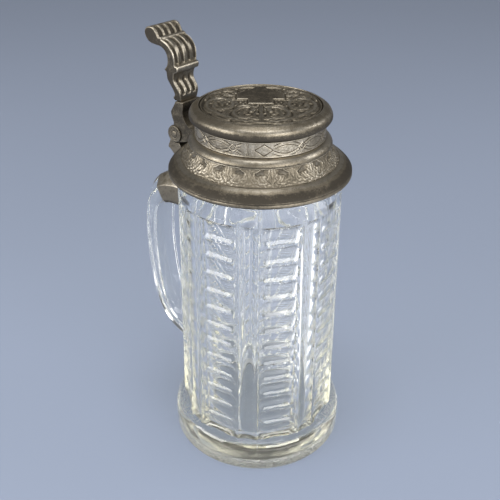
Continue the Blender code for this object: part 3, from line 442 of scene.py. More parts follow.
class Graph:
    """Adds nodes to one material's or the world's tree."""

    def __init__(self, tree):
        self.tree = tree
        tree.nodes.clear()

    def node(self, kind, settings=None, sockets=()):
        """A node of one kind with its settings; sockets holds values or links by number or by name."""
        node = self.tree.nodes.new(kind)
        for name, setting in (settings or {}).items():
            setattr(node, name, setting)
        pairs = sockets.items() if isinstance(sockets, dict) else enumerate(sockets)
        for name, given in pairs:
            if isinstance(given, Value):
                given = given.socket
            if isinstance(given, bpy.types.NodeSocket):
                self.tree.links.new(given, node.inputs[name])
            else:
                node.inputs[name].default_value = given
        return node

    def value(self, kind, settings=None, sockets=(), output=0):
        return Value(self, self.node(kind, settings, sockets).outputs[output])

    def height(self, coordinates):
        """The upright part of a kind of coordinates."""
        raw = self.node("ShaderNodeTexCoord").outputs[coordinates]
        return self.value("ShaderNodeSeparateXYZ", None, {0: raw}, output=2)

    def noise(self, scale, detail=3.0, stretch=(1.0, 1.0, 1.0), roughness=0.5):
        """Noise on object coordinates; its scale counts features in a metre."""
        raw = self.node("ShaderNodeTexCoord").outputs["Object"]
        place = self.node("ShaderNodeMapping", None, {"Vector": raw, "Scale": stretch}).outputs[0]
        sockets = {"Vector": place, "Scale": scale, "Detail": detail, "Roughness": roughness}
        return self.value("ShaderNodeTexNoise", None, sockets)

    def mix(self, factor, first, second):
        """Blend two colours; each is a socket or three numbers."""
        settings = {"data_type": "RGBA", "clamp_factor": True}
        first, second = (
            shade if isinstance(shade, bpy.types.NodeSocket) else (*shade, 1.0) for shade in (first, second)
        )
        return self.node("ShaderNodeMix", settings, {0: factor, 6: first, 7: second}).outputs[2]

    def bump(self, height, distance, strength):
        sockets = {"Height": height, "Distance": distance, "Strength": strength}
        return self.node("ShaderNodeBump", None, sockets).outputs[0]

    def shader(self, sockets):
        return self.node("ShaderNodeBsdfPrincipled", None, sockets).outputs[0]

    def output(self, surface, volume=None):
        sockets = {"Surface": surface}
        if volume is not None:
            sockets["Volume"] = volume
        self.node("ShaderNodeOutputMaterial", None, sockets)


def new_material(name):
    material = bpy.data.materials.new(name)
    material.use_nodes = True
    return material, Graph(material.node_tree)


def pewter_finish(name, dull=0.0):
    """Cast pewter: dark film in the hollows, grey-brown body, edges rubbed bright, fine handling marks; the
    relief attribute also brings painted highlight and shade into the bright and dark tones.
    """
    tones = bpy.context.scene.stein_finishes
    material, graph = new_material(name)
    # The relief attribute carries patina and wear, and also painted highlight and shade from the turned
    # rings' height bands and from facing up or down
    relief = graph.value("ShaderNodeAttribute", {"attribute_name": "relief"}, output=2)
    cloud = graph.noise(55.0, 4.0)
    mottle = graph.noise(330.0, 5.0, roughness=0.65)
    speck = graph.noise(1700.0, 2.0)
    drag = graph.noise(900.0, 2.0, stretch=(1.0, 1.0, 0.12))
    level = relief + (cloud - 0.5) * 0.55 + (mottle - 0.5) * 0.65 + (speck - 0.5) * 0.5
    # Film paints patina and painted shade dark; rubbed paints worn edges and painted highlights bright
    film = 1.0 - level.step(0.16, 0.52)
    rubbed = level.step(0.5, 0.86)
    stain = mottle.step(0.54, 0.7) * 0.3 + speck.step(0.62, 0.74) * 0.35
    shade = graph.mix(rubbed, tones.pewter, tones.worn)
    shade = graph.mix(film * 0.88, shade, tones.patina)
    shade = graph.mix(stain, shade, tones.stain)
    rough = 0.45 + dull + film * 0.2 - rubbed * 0.1 + (mottle - 0.5) * 0.3 + (drag - 0.5) * 0.14
    texture = speck * 0.5 + mottle * 0.8 + drag * 0.25
    sockets = {
        "Base Color": shade,
        "Metallic": 1.0 - film * 0.4,
        "Roughness": rough,
        "Normal": graph.bump(texture, 0.05 * MM, 0.8),
    }
    graph.output(graph.shader(sockets))
    return material


def steel_finish(name):
    """Hinge pin: plain steel, turned lengthwise and greyed with age."""
    tones = bpy.context.scene.stein_finishes
    material, graph = new_material(name)
    drag = graph.noise(1500.0, 2.0, stretch=(1.0, 0.08, 1.0))
    mottle = graph.noise(500.0, 3.0)
    sockets = {
        "Base Color": graph.mix(mottle.step(0.45, 0.7) * 0.6, tones.steel, tones.patina),
        "Metallic": 1.0,
        "Roughness": 0.34 + (drag - 0.5) * 0.2,
        "Normal": graph.bump(drag, 0.02 * MM, 0.6),
    }
    graph.output(graph.shader(sockets))
    return material


def glass_finish(name):
    """Pressed glass: clear with a straw tint in its depth, faint ripples, a scuffed foot.

    Shadow rays pass with a faint loss, so that lamplight reaches what stands behind the glass.
    """
    tones = bpy.context.scene.stein_finishes
    material, graph = new_material(name)
    ripple = graph.noise(110.0, 2.0)
    scuff = graph.noise(900.0, 4.0, roughness=0.7)
    handled = graph.noise(45.0, 4.0)
    worn_foot = (1.0 - graph.height("Object").step(0.1 * MM, 1.2 * MM)) * scuff.step(0.35, 0.6)
    sockets = {
        "Base Color": (1.0, 1.0, 1.0, 1.0),
        "Roughness": worn_foot * 0.42 + handled.step(0.55, 0.75) * 0.02,
        "IOR": 1.51,
        "Transmission Weight": 1.0,
        "Normal": graph.bump(ripple, 0.16 * MM, 0.5),
    }
    through = graph.node("ShaderNodeBsdfTransparent", None, {0: (0.96, 0.96, 0.95, 1.0)}).outputs[0]
    shadow = graph.node("ShaderNodeLightPath").outputs["Is Shadow Ray"]
    surface = graph.node("ShaderNodeMixShader", None, (shadow, graph.shader(sockets), through))
    tint = {"Color": (*tones.glass, 1.0), "Density": tones.density}
    volume = graph.node("ShaderNodeVolumeAbsorption", None, tint)
    graph.output(surface.outputs[0], volume.outputs[0])
    return material


def floor_finish(name):
    """Plain pale floor with the faintest clouding."""
    material, graph = new_material(name)
    tone = bpy.context.scene.stein_stage.floor
    shade = graph.mix(graph.noise(6.0, 3.0) * 0.12, tone, [0.9 * part for part in tone])
    graph.output(graph.shader({"Base Color": shade, "Roughness": 0.7}))
    return material


# Shapes


def lerp(low, high, part):
    return low + (high - low) * part


def smooth_step(value, low, high):
    part = np.clip((value - low) / (high - low), 0.0, 1.0)
    return part * part * (3.0 - 2.0 * part)


def dome(away):
    """1 at no distance, falling to 0 at a distance of one and past it."""
    return np.clip(1.0 - away**2, 0.0, 1.0)


def line_mark(away, width):
    """A soft line: 1 on it, fading over a width to either side."""
    return np.exp(-((away / width) ** 2))


def arc(x, z, radius, start, end, steps, rise=None):
    """Points along an arc, both ends included; angles in degrees, and rise is a differing upright radius."""
    turns = [math.radians(lerp(start, end, step / steps)) for step in range(steps + 1)]
    return [(x + radius * math.cos(turn), z + (rise or radius) * math.sin(turn)) for turn in turns]


def rounded(outline, radius, closed=False, sharpest=math.radians(25.0)):
    """The outline with its sharp corners turned into small arcs."""
    points = [Vector(point) for point in outline]
    result = []
    for index, here in enumerate(points):
        if not closed and index in (0, len(points) - 1):
            result.append(tuple(here))
            continue
        inward = points[index - 1] - here
        outward = points[(index + 1) % len(points)] - here
        bend = math.pi - inward.angle(outward, math.pi)
        if bend < sharpest:
            result.append(tuple(here))
            continue
        half = (math.pi - bend) / 2
        cut = min(radius / max(math.tan(half), 0.05), 0.45 * inward.length, 0.45 * outward.length)
        start = here + inward.normalized() * cut
        end = here + outward.normalized() * cut
        for part in (0.0, 1 / 3, 2 / 3, 1.0):
            result.append(tuple(start.lerp(here, part).lerp(here.lerp(end, part), part)))
    return result


def between(points, index, part):
    """The point of a smooth line through points, a part of the way from one to the next."""
    last = len(points) - 1
    rows = [points[min(max(index + offset, 0), last)] for offset in (-1, 0, 1, 2)]
    point = []
    for before, here, there, after in zip(*rows):
        value = (2 * part**3 - 3 * part**2 + 1) * here
        value += (part**3 - 2 * part**2 + part) * (there - before) / 2
        value += (3 * part**2 - 2 * part**3) * there
        value += (part**3 - part**2) * (after - here) / 2
        point.append(value)
    return tuple(point)


def curved(points, steps):
    """A smooth line through points of any dimension."""
    line = [between(points, index, step / steps) for index in range(len(points) - 1) for step in range(steps)]
    return line + [tuple(points[-1])]


def turned(outline, steps, closed=False):
    """A half section of radius and height spun once round the upright axis."""
    form = bmesh.new()
    corners = [form.verts.new((radius, 0.0, height)) for radius, height in outline]
    edges = [form.edges.new(pair) for pair in zip(corners, corners[1:])]
    if closed:
        edges.append(form.edges.new((corners[-1], corners[0])))
    # One wedge is spun first and its copies are spun round after it, which is far quicker than one long spin
    wedges = max(part for part in range(1, steps + 1) if steps % part == 0 and part * part <= steps)
    about = {"axis": (0.0, 0.0, 1.0), "cent": (0.0, 0.0, 0.0)}
    bmesh.ops.spin(form, geom=corners + edges, steps=steps // wedges, angle=TURN / wedges, **about)
    wedge = form.verts[:] + form.edges[:] + form.faces[:]
    sweep = TURN * (wedges - 1) / wedges
    bmesh.ops.spin(form, geom=wedge, steps=wedges - 1, angle=sweep, use_duplicate=True, **about)
    bmesh.ops.remove_doubles(form, verts=form.verts, dist=WELD)
    bmesh.ops.recalc_face_normals(form, faces=form.faces)
    return form


def lofted(rings):
    """A closed skin over rings of equal count, made by extruding the first ring along the rest."""
    form = bmesh.new()
    corners = [form.verts.new(point) for point in rings[0]]
    edges = [form.edges.new(pair) for pair in zip(corners, corners[1:] + corners[:1])]
    bmesh.ops.edgeloop_fill(form, edges=edges)
    for ring in rings[1:]:
        made = bmesh.ops.extrude_edge_only(form, edges=edges)["geom"]
        fresh = {part for part in made if isinstance(part, bmesh.types.BMVert)}
        link = {}
        for corner in fresh:
            for edge in corner.link_edges:
                link[edge.other_vert(corner)] = corner
        edges = [part for part in made if isinstance(part, bmesh.types.BMEdge)]
        edges = [edge for edge in edges if fresh.issuperset(edge.verts)]
        corners = [link[corner] for corner in corners]
        for corner, point in zip(corners, ring):
            corner.co = point
    bmesh.ops.edgeloop_fill(form, edges=edges)
    bmesh.ops.recalc_face_normals(form, faces=form.faces)
    return form


def plate(outline, low_y, high_y, columns=1):
    """An outline in the XZ plane, drawn out along Y in equal columns and closed at both ends."""
    rings = []
    for column in range(columns + 1):
        y = lerp(low_y, high_y, column / columns)
        rings.append([(x, y, z) for x, z in outline])
    return lofted(rings)


def cylinder(radius, low_y, high_y):
    """A round bar along the hinge axis."""
    form = bmesh.new()
    place = Matrix.Translation((PIN_X, (low_y + high_y) / 2, PIN_Z)) @ Matrix.Rotation(math.pi / 2, 4, "X")
    size = {"radius1": radius, "radius2": radius, "depth": high_y - low_y}
    bmesh.ops.create_cone(form, cap_ends=True, segments=64, matrix=place, **size)
    return form


def placed(name, data):
    """An object for a mesh, lamp or camera, in the scene."""
    item = bpy.data.objects.new(name, data)
    bpy.context.scene.collection.objects.link(item)
    return item


def smoothed(mesh, crease=None):
    """Shade a mesh smooth, but for the edges that bend past an angle in degrees."""
    mesh.polygons.foreach_set("use_smooth", [True] * len(mesh.polygons))
    if crease is not None:
        mesh.set_sharp_from_angle(angle=math.radians(crease))


def settle(form, name):
    """A form as an object in the scene, smooth all over."""
    mesh = bpy.data.meshes.new(name)
    form.to_mesh(mesh)
    form.free()
    smoothed(mesh)
    return placed(name, mesh)


def applied(item):
    """Bake an object's modifiers into its mesh."""
    bpy.context.view_layer.update()
    graph = bpy.context.evaluated_depsgraph_get()
    mesh = bpy.data.meshes.new_from_object(item.evaluated_get(graph))
    old = item.data
    item.modifiers.clear()
    item.data = mesh
    mesh.name = item.name
    bpy.data.meshes.remove(old)


def combine(item, tools, operation, solver="EXACT"):
    """Cut tools out of an item, or join them to it, and drop the tools."""
    for tool in tools:
        modifier = item.modifiers.new(operation.lower(), "BOOLEAN")
        modifier.operation = operation
        modifier.object = tool
        modifier.solver = solver
    applied(item)
    for tool in tools:
        mesh = tool.data
        bpy.data.objects.remove(tool, do_unlink=True)
        bpy.data.meshes.remove(mesh)


def soften(item, width):
    """Round an item's sharp edges."""
    bevel = item.modifiers.new("soften", "BEVEL")
    bevel.width = width
    bevel.segments = 2
    bevel.limit_method = "ANGLE"
    bevel.angle_limit = math.radians(35.0)
    bevel.harden_normals = False
    applied(item)
    smoothed(item.data, SOFTENED_CREASE)


def frame_flats(item, width):
    """Give an item's large flat faces a narrow border, so that their edges wear apart from their middles."""
    form = bmesh.new()
    form.from_mesh(item.data)
    flats = [face for face in form.faces if len(face.verts) > 8 and face.calc_area() > LARGE_FLAT]
    bmesh.ops.inset_individual(form, faces=flats, thickness=width, use_even_offset=True)
    form.to_mesh(item.data)
    form.free()


def coordinates(mesh, name="co"):
    """The points of a mesh, or with another name their normals, as rows."""
    flat = np.empty(len(mesh.vertices) * 3)
    mesh.vertices.foreach_get(name, flat)
    return flat.reshape(-1, 3)


def write_coordinates(mesh, places):
    mesh.vertices.foreach_set("co", places.ravel())
    mesh.update()


def around(places):
    """Radius, angle and height of points about the upright axis."""
    return np.hypot(places[:, 0], places[:, 1]), np.arctan2(places[:, 1], places[:, 0]), places[:, 2]


def folded(turn, repeats):
    """How far angles lie from the middle of their repeat: 0 in the middle and 1 at its ends."""
    return np.abs((turn / (TURN / repeats) + 0.5) % 1.0 - 0.5) * 2.0


def mark_relief_and_painted_light(mesh, height=None, radius=0.9 * MM, passes=2, weight=0.55, lean=0.34):
    """Store 0 in the hollows, 0.5 on plain metal and 1 on edges that hands rub.

    A given height counts by its weight beside the bend of the surface. Faces that look down are painted
    darker, and faces that look up lighter, as painted shade and light from above.
    """
    places = coordinates(mesh)
    normals = coordinates(mesh, "normal")
    ends = np.empty(len(mesh.edges) * 2, dtype=np.int64)
    mesh.edges.foreach_get("vertices", ends)
    first, second = ends.reshape(-1, 2).T
    run = places[second] - places[first]
    square = np.maximum((run**2).sum(1), 1e-10)
    total = len(mesh.vertices)
    fold = np.bincount(first, (run * normals[first]).sum(1) / square, total)
    fold -= np.bincount(second, (run * normals[second]).sum(1) / square, total)
    ways = np.maximum(np.bincount(ends, minlength=total), 1)
    level = np.clip(-fold / ways * 2.0 * radius, -1.2, 1.2)
    for _pass in range(passes):
        neighbours = np.bincount(first, level[second], total) + np.bincount(second, level[first], total)
        level = 0.5 * level + 0.5 * neighbours / ways
    level = 0.5 + 0.5 * level
    if height is not None:
        level = lerp(level, height, weight)
    # Painted light and shade: by lean, faces that look up are made lighter and faces that look down darker
    level += lean * (normals[:, 2] - 0.3)
    attribute = mesh.attributes.new("relief", "FLOAT", "POINT")
    attribute.data.foreach_set("value", np.clip(level, 0.0, 1.0).astype(np.float32))


def dress(item, finish, body, slot, *nodes):
    """Give a piece its finish, its body and the CAD nodes that it stands for."""
    item.data.materials.clear()
    item.data.materials.append(finish)
    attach(item, body)
    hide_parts(*nodes)


# Glass mug


def wall_radius(height):
    return lerp(ROOT_RADIUS, RIM_RADIUS, (height - FOOT_TOP) / (RIM_HEIGHT - FOOT_TOP))


def handle_place(station):
    """Centre and half thickness of the handle at a station."""
    start = min(int(station), len(HANDLE_SHARES) - 2)
    reach, rise, thickening = between(HANDLE_SHARES, start, station - start)
    x = wall_radius(HANDLE_TOP) + reach * HANDLE_REACH
    z = lerp(HANDLE_FOOT, HANDLE_TOP, rise)
    return Vector((x, 0.0, z)), lerp(HANDLE_GRIP, HANDLE_ROOT, thickening) / 2


def handle_station(station):
    """Centre, outward normal and half thickness of the handle at a station."""
    centre, half_thickness = handle_place(station)
    ahead = handle_place(min(station + 0.1, len(HANDLE_SHARES) - 1))[0]
    along = (ahead - handle_place(max(station - 0.1, 0.0))[0]).normalized()
    return centre, Vector((-along.z, 0.0, along.x)), half_thickness


def handle_ring(station, growth=0.0):
    """The bevelled section at a station, grown all round."""
    centre, normal, half_thickness = handle_station(station)
    deep = half_thickness + growth
    broad = HANDLE_WIDTH / 2 + growth
    corners = [(thick * deep, wide * broad) for thick, wide in HANDLE_SECTION]
    corners = rounded(corners, HANDLE_EDGE, closed=True, sharpest=0.0)
    return [centre + normal * thick + Vector((0.0, wide, 0.0)) for thick, wide in corners]


def stations(start, end, steps):
    return [lerp(start, end, step / steps) for step in range(steps + 1)]


def outer_profile(sizes):
    """The mug's outside from the rim down to the middle of its underside."""
    points = arc(RIM_RADIUS - RIM_ROUNDING, RIM_HEIGHT - RIM_ROUNDING, RIM_ROUNDING, 90, 0, 5)
    heights = stations(points[-1][1], sizes.panel_top + RIM_BAND_END, 7)[1:]
    pitch = (sizes.panel_top - FOOT_TOP) / sizes.ovals
    heights += [sizes.panel_top - index / OVAL_ROWS * pitch for index in range(sizes.ovals * OVAL_ROWS + 1)]
    points += [(wall_radius(height), height) for height in heights]
    points += arc(ROOT_RADIUS, FOOT_BAND, FOOT_RADIUS - ROOT_RADIUS, 90, 0, 9, FOOT_TOP - FOOT_BAND)[1:]
    points += arc(FOOT_RADIUS - FOOT_EDGE, FOOT_EDGE, FOOT_EDGE, 0, -90, 5)
    points.append((sizes.kick_radius + FOOT_RING, 0.0))
    for part in (0.0, 0.15, 0.4, 0.7, 1.0):
        radius = sizes.kick_radius + KICK_SLOPE / 2 - part * KICK_SLOPE
        points.append((radius, sizes.kick * part * part * (3 - 2 * part)))
    return points + [(sizes.kick_radius * part, sizes.kick) for part in (0.75, 0.5, 0.25, 0.0)]


def inner_profile(sizes):
    """The bore from the middle of the glass floor up to the rim."""
    low = sizes.floor + FLOOR_CORNER
    top = RIM_HEIGHT - RIM_ROUNDING
    points = [(BORE_ROOT * part, sizes.floor) for part in (0.0, 0.2, 0.4, 0.6)]
    points += arc(BORE_ROOT - FLOOR_CORNER, low, FLOOR_CORNER, -90, 0, 9)
    points += zip(stations(BORE_ROOT, BORE_RIM, 12)[1:], stations(low, top, 12)[1:])
    return points + arc(BORE_RIM + RIM_ROUNDING, top, RIM_ROUNDING, 180, 90, 5)[1:]


def press_pattern(places, sizes):
    """Move the wall's vertices in to the pressed panels, scooped ovals and fluted strips."""
    radius, turn, height = around(places)
    sector = TURN / sizes.panels
    half = sizes.panel_spread / 2
    # One column stands on each panel's middle, and columns gather where the ovals end and the strips stand
    turn += sizes.panel_turn % (sector / PANEL_COLUMNS)
    cell = np.floor((turn - sizes.panel_turn) / sector + 0.5)
    offset = turn - sizes.panel_turn - cell * sector
    portion = np.interp(np.abs(offset) / (sector / 2), COLUMN_SHARES, COLUMN_PLACES)
    span = portion * sector / 2
    turn = sizes.panel_turn + cell * sector + np.sign(offset) * span
    wall = wall_radius(height)
    pitch = (sizes.panel_top - FOOT_TOP) / sizes.ovals
    patterned = (height > FOOT_TOP - PATTERN_SLACK) & (height < sizes.panel_top + PATTERN_SLACK)
    half_height = pitch * sizes.oval_height / 2
    half_width = wall * math.sin(half) * sizes.oval_width
    cap = half_height * OVAL_CAP
    reach = np.clip((wall * np.sin(span) - (half_width - cap)) / cap, 0.0, None)
    # Rows follow the ovals' rims, so that each rim is one clean line of the mesh
    row = np.clip(np.floor((height - FOOT_TOP) / pitch), 0, sizes.ovals - 1)
    level = (height - FOOT_TOP) / pitch - row - 0.5
    rim = half_height * np.maximum(np.sqrt(dome(reach)), OVAL_END)
    inner = np.clip(np.abs(level) * 2.0 / RIM_ROW, 0.0, 1.0) ** ROW_POWER * rim
    outer = np.clip((np.abs(level) * 2.0 - RIM_ROW) / (1.0 - RIM_ROW), 0.0, 1.0) * (pitch / 2 - rim)
    up = np.sign(level) * (inner + outer)
    height = np.where(patterned, FOOT_TOP + (row + 0.5) * pitch + up, height)
    radius = np.where(patterned, wall_radius(height), radius)
    on_wall = smooth_step(height, FOOT_TOP - FOOT_FADE, FOOT_TOP + FOOT_FADE)
    on_wall *= 1.0 - smooth_step(height, sizes.panel_top - TOP_FADE_LOW, sizes.panel_top + TOP_FADE_HIGH)
    flat = wall * math.cos(half) / np.cos(np.minimum(span, half))
    lowered = np.where(span < half, wall - flat + sizes.rib, 0.0)
    away = np.hypot(reach, np.where(patterned, up, 1.0) / half_height)
    lowered += sizes.oval_depth * np.clip(1.0 - away**BOWL_POWER, 0.0, 1.0)
    # A strip is a hollow between two rounded ribs
    strip = wall * (sector / 2 - span)
    hollow = sizes.flute_width / 2
    rib_half = (wall * (sector / 2 - half) - hollow) / 2
    rib = sizes.rib * np.clip(np.abs(strip - hollow - rib_half) / rib_half, 0.0, 1.0) ** 2
    flute = sizes.rib + sizes.flute_depth * (1.0 - (strip / hollow) ** 2)
    lowered = np.where(span < half, lowered, np.where(strip > hollow, rib, flute))
    radius = radius - lowered * on_wall
    seam = np.abs(np.sin(turn - sizes.panel_turn - SEAM_PANELS * sector - SEAM_TURN)) * radius
    seamed = (height > FOOT_EDGE) & (radius < FOOT_RADIUS - sizes.seam)
    radius = radius + np.where(seamed, sizes.seam * line_mark(seam, SEAM_WIDTH), 0.0)
    return np.column_stack((radius * np.cos(turn), radius * np.sin(turn), height))


def make_glass(sizes):
    """The mug's pressed outside, bridged to its bore at the rim and joined to the handle."""
    columns = sizes.panels * PANEL_COLUMNS
    item = settle(turned(outer_profile(sizes), columns), "glass_mug")
    places = coordinates(item.data)
    radius, _turn, height = around(places)
    wall = (height > 0.5 * FOOT_BAND) & (radius > WITHIN_WALL)
    write_coordinates(item.data, np.where(wall[:, None], press_pattern(places, sizes), places))
    form = bmesh.new()
    form.from_mesh(item.data)
    inside = turned(inner_profile(sizes), columns // 2)
    bore = bpy.data.meshes.new("bore")
    inside.to_mesh(bore)
    inside.free()
    form.from_mesh(bore)
    bpy.data.meshes.remove(bore)
    bmesh.ops.bridge_loops(form, edges=[edge for edge in form.edges if edge.is_boundary])
    bmesh.ops.recalc_face_normals(form, faces=form.faces)
    form.to_mesh(item.data)
    form.free()
    smoothed(item.data, GLASS_CREASE)
    last = len(HANDLE_SHARES) - 1
    handle = settle(lofted([handle_ring(station) for station in stations(0, last, last * 6)]), "handle")
    combine(item, [handle], "UNION", "MANIFOLD")
    places = coordinates(item.data)
    places[:, 0] = np.minimum(places[:, 0], HANDLE_END)
    write_coordinates(item.data, places)
    return item


class SteinAddGlass(bpy.types.Operator):
    """Build the pressed glass mug with its handle in one piece"""

    bl_idname = "stein.add_glass"
    bl_label = "Glass mug"

    def execute(self, context):
        item = make_glass(context.scene.stein_glass)
        dress(item, glass_finish("pressed_glass"), "mug", "glass", "glass_body", "glass_handle")
        return {"FINISHED"}


# Turned rings of the lid


def flange_slope(clearance=0.0):
    """Upper side of the flange, from the foliage band's foot down to the bead."""
    out = FOLIAGE_BASE_RADIUS + clearance
    up = OVOLO_TOP + clearance
    return curved([(out + x * MM, up + z * MM) for x, z in FLANGE_SLOPE], 3)


def shell_outline():
    """Half section of the dome with its flange, from the drum's top outside round to its top inside."""
    inset = BAND_THICKNESS + SEAT
    outer = [
        (0.0, DRUM_TOP),
        (DRUM_RADIUS, DRUM_TOP),
        (DRUM_RADIUS, FOLIAGE_TOP),
        (FOLIAGE_TOP_RADIUS - inset, FOLIAGE_TOP),
        (FOLIAGE_BASE_RADIUS - inset, FOLIAGE_BASE - SEAT),
    ]
    edge = arc(FLANGE_RADIUS - FLANGE_BEAD, BEAD_TOP - FLANGE_BEAD, FLANGE_BEAD, 46, -90, 10)
    mouth = LOCATING_RADIUS + SEAT
    seat_top = LID_UNDERSIDE + LOCATING_RISE
    inner = [
        (mouth, LID_UNDERSIDE),
        (mouth, seat_top),
        (OVOLO_TOP_RADIUS, seat_top),
        (OVOLO_TOP_RADIUS, OVOLO_TOP - SHELL_WALL),
        (FOLIAGE_BASE_RADIUS - inset - SHELL_WALL, OVOLO_TOP - SHELL_WALL),
        (FOLIAGE_TOP_RADIUS - inset - SHELL_WALL, FOLIAGE_TOP - SHELL_WALL),
        (DRUM_RADIUS - SHELL_WALL, FOLIAGE_TOP - SHELL_WALL),
        (DRUM_RADIUS - SHELL_WALL, DRUM_TOP - SHELL_WALL),
        (0.0, DRUM_TOP - SHELL_WALL),
    ]
    return rounded(outer + flange_slope() + edge + inner, 0.3 * MM)


def waist_outline():
    """Half section of the round moulding over the foliage band."""
    points = curved([(RING_BORE + out * MM, lerp(WAIST_BASE, WAIST_TOP, up)) for out, up in WAIST_SLOPE], 4)
    points += [points[-1], (RING_BORE, WAIST_BASE), (RING_BORE, WAIST_TOP)]
    return rounded(points, 0.12 * MM, closed=True)


def crown_outline():
    """Half section of the large moulding at the top: a long bevel over a low widest place and a neck."""
    slope = [(RING_BORE + CROWN_REACH * out, lerp(CROWN_BASE, CROWN_TOP, up)) for out, up in CROWN_SHARES]
    out, up = CROWN_NECK
    neck = RING_BORE + CROWN_REACH * out
    foot = [(neck, lerp(CROWN_BASE, CROWN_TOP, up)), (neck, CROWN_BASE), (RING_BORE, CROWN_BASE)]
    return rounded([(RING_BORE, CROWN_TOP), *curved(slope, 3), *foot], 0.35 * MM, closed=True)


def locating_outline():
    """Half section of the ring that drops inside the glass rim."""
    low = RIM_HEIGHT - LOCATING_DROP
    high = LID_UNDERSIDE + LOCATING_RISE
    inner = LOCATING_RADIUS - LOCATING_WALL
    points = [
        (LOCATING_RADIUS, high),
        (LOCATING_RADIUS, low + LOCATING_CHAMFER),
        (LOCATING_RADIUS - LOCATING_CHAMFER, low),
        (inner, low),
        (inner, high),
    ]
    return rounded(points, 0.25 * MM, closed=True)


def ring_piece(name, outline, steps, finish, wear, closed=True):
    """A turned piece, with highlight and shade painted on it by the heights and levels given."""
    item = settle(turned(outline, steps, closed), "dressed_" + name)
    smoothed(item.data, TURNED_CREASE)
    height = coordinates(item.data)[:, 2]
    over, level = zip(*wear)
    # The levels by height paint bands of highlight and shade, and lean paints upward faces lighter: painted
    # light on the turned rings
    mark_relief_and_painted_light(item.data, np.interp((height - height.min()) / MM, over, level), lean=0.2)
    dress(item, finish, "lid", "pewter", "lid_" + name)


class SteinAddTurnings(bpy.types.Operator):
    """Turn the lid's shell, its locating ring, the waist ring and the crown ring"""

    bl_idname = "stein.add_turnings"
    bl_label = "Turned rings"

    def execute(self, context):
        steps = context.scene.stein_lid.steps
        finish = pewter_finish("turned_pewter")
        ring_piece("shell", shell_outline(), steps, finish, SHELL_PAINTED_LIGHT, closed=False)
        ring_piece("waist_ring", waist_outline(), steps, finish, WAIST_PAINTED_LIGHT)
        ring_piece("crown_ring", crown_outline(), steps, finish, CROWN_PAINTED_LIGHT)
        ring_piece("locating_ring", locating_outline(), steps, finish, LOCATING_WEAR)
        return {"FINISHED"}


# Carved bands. Motifs are drawn in millimetres, as strokes of points, start width, end width and height

LEAF_ACROSS = 10.6
LEAF_DOWN = 8.5
LEAF_STROKES = (
    (((0.0, 0.3), (0.0, 3.0), (0.0, 6.6)), 1.5, 0.7, 0.75),
    (((1.5, 0.2), (1.2, 2.6), (0.6, 5.6)), 0.5, 0.4, 0.7),
    (((5.4, 0.6), (7.6, 1.3), (8.5, 2.9), (8.0, 4.6), (6.9, 5.0)), 0.4, 1.1, 0.85),
    (((2.3, 2.6), (1.9, 3.6), (2.2, 4.7)), 1.0, 0.7, 0.75),
    (((3.9, 3.2), (3.4, 4.4), (2.3, 5.9)), 1.3, 0.9, 1.0),
    (((5.3, 3.6), (5.0, 4.6), (4.3, 5.4)), 1.1, 0.9, 0.7),
    (((6.4, 3.9), (6.2, 5.4), (5.1, 6.6), (3.9, 6.7)), 0.7, 1.0, 0.8),
    (((9.4, 3.4), (9.1, 5.0), (8.1, 6.2)), 0.7, 0.5, 0.5),
    (((10.6, 0.4), (10.6, 3.0), (10.6, 5.0)), 1.0, 0.4, 0.5),
    (((7.8, 7.2), (6.6, 7.7), (5.2, 7.6)), 0.8, 0.5, 0.45),
)
# Beads of place across, place down, radius and height
LEAF_BEADS = (
    (1.7, 6.9, 0.8, 1.0), (3.1, 7.6, 0.6, 0.8), (0.0, 7.6, 0.6, 0.7), (10.4, 6.6, 0.7, 0.5),
    (9.5, 1.0, 0.5, 0.4), (3.0, 5.9, 0.7, 0.9), (4.6, 4.4, 0.6, 0.8), (7.3, 5.9, 0.7, 0.7),
    (8.8, 7.3, 0.5, 0.5), (1.0, 4.6, 0.5, 0.6),
)
STRAP_HALF = 10.1
STRAP_SWING = 2.75
STRAP_BORDER = (3.05, 3.2)
STRAP_STROKES = (
    (((2.4, 0.0), (3.6, 0.3), (4.9, 1.0)), 0.7, 0.25, 0.8),
    (((2.4, 0.0), (4.2, 0.0), (6.4, 0.0)), 0.5, 0.25, 0.7),
    (((1.9, 1.2), (2.9, 1.4), (3.6, 1.7)), 0.6, 0.3, 0.6),
    (((7.2, 2.5), (8.4, 2.2), (9.2, 3.1)), 0.6, 0.3, 0.6),
    (((10.1, 2.3), (10.1, 3.2)), 0.8, 0.4, 0.7),
)
STRAP_DOTS = ((5.6, 1.6), (7.6, 0.45), (4.5, 1.75), (6.6, 2.9), (6.9, 1.25))
STRAP_DOT = 0.32
SEAM_LOZENGE = (4.2, 2.75)
SEAM_ENDS = (-10.4, 4.4)
SEAM_CUTS = (-7.6, -6.9)
SEAM_PITS = ((-8.6, 1.4, 0.5), (-5.6, 0.6, 0.45), (-5.2, 2.1, 0.4), (-9.3, 0.4, 0.4), (-3.4, 2.3, 0.35))


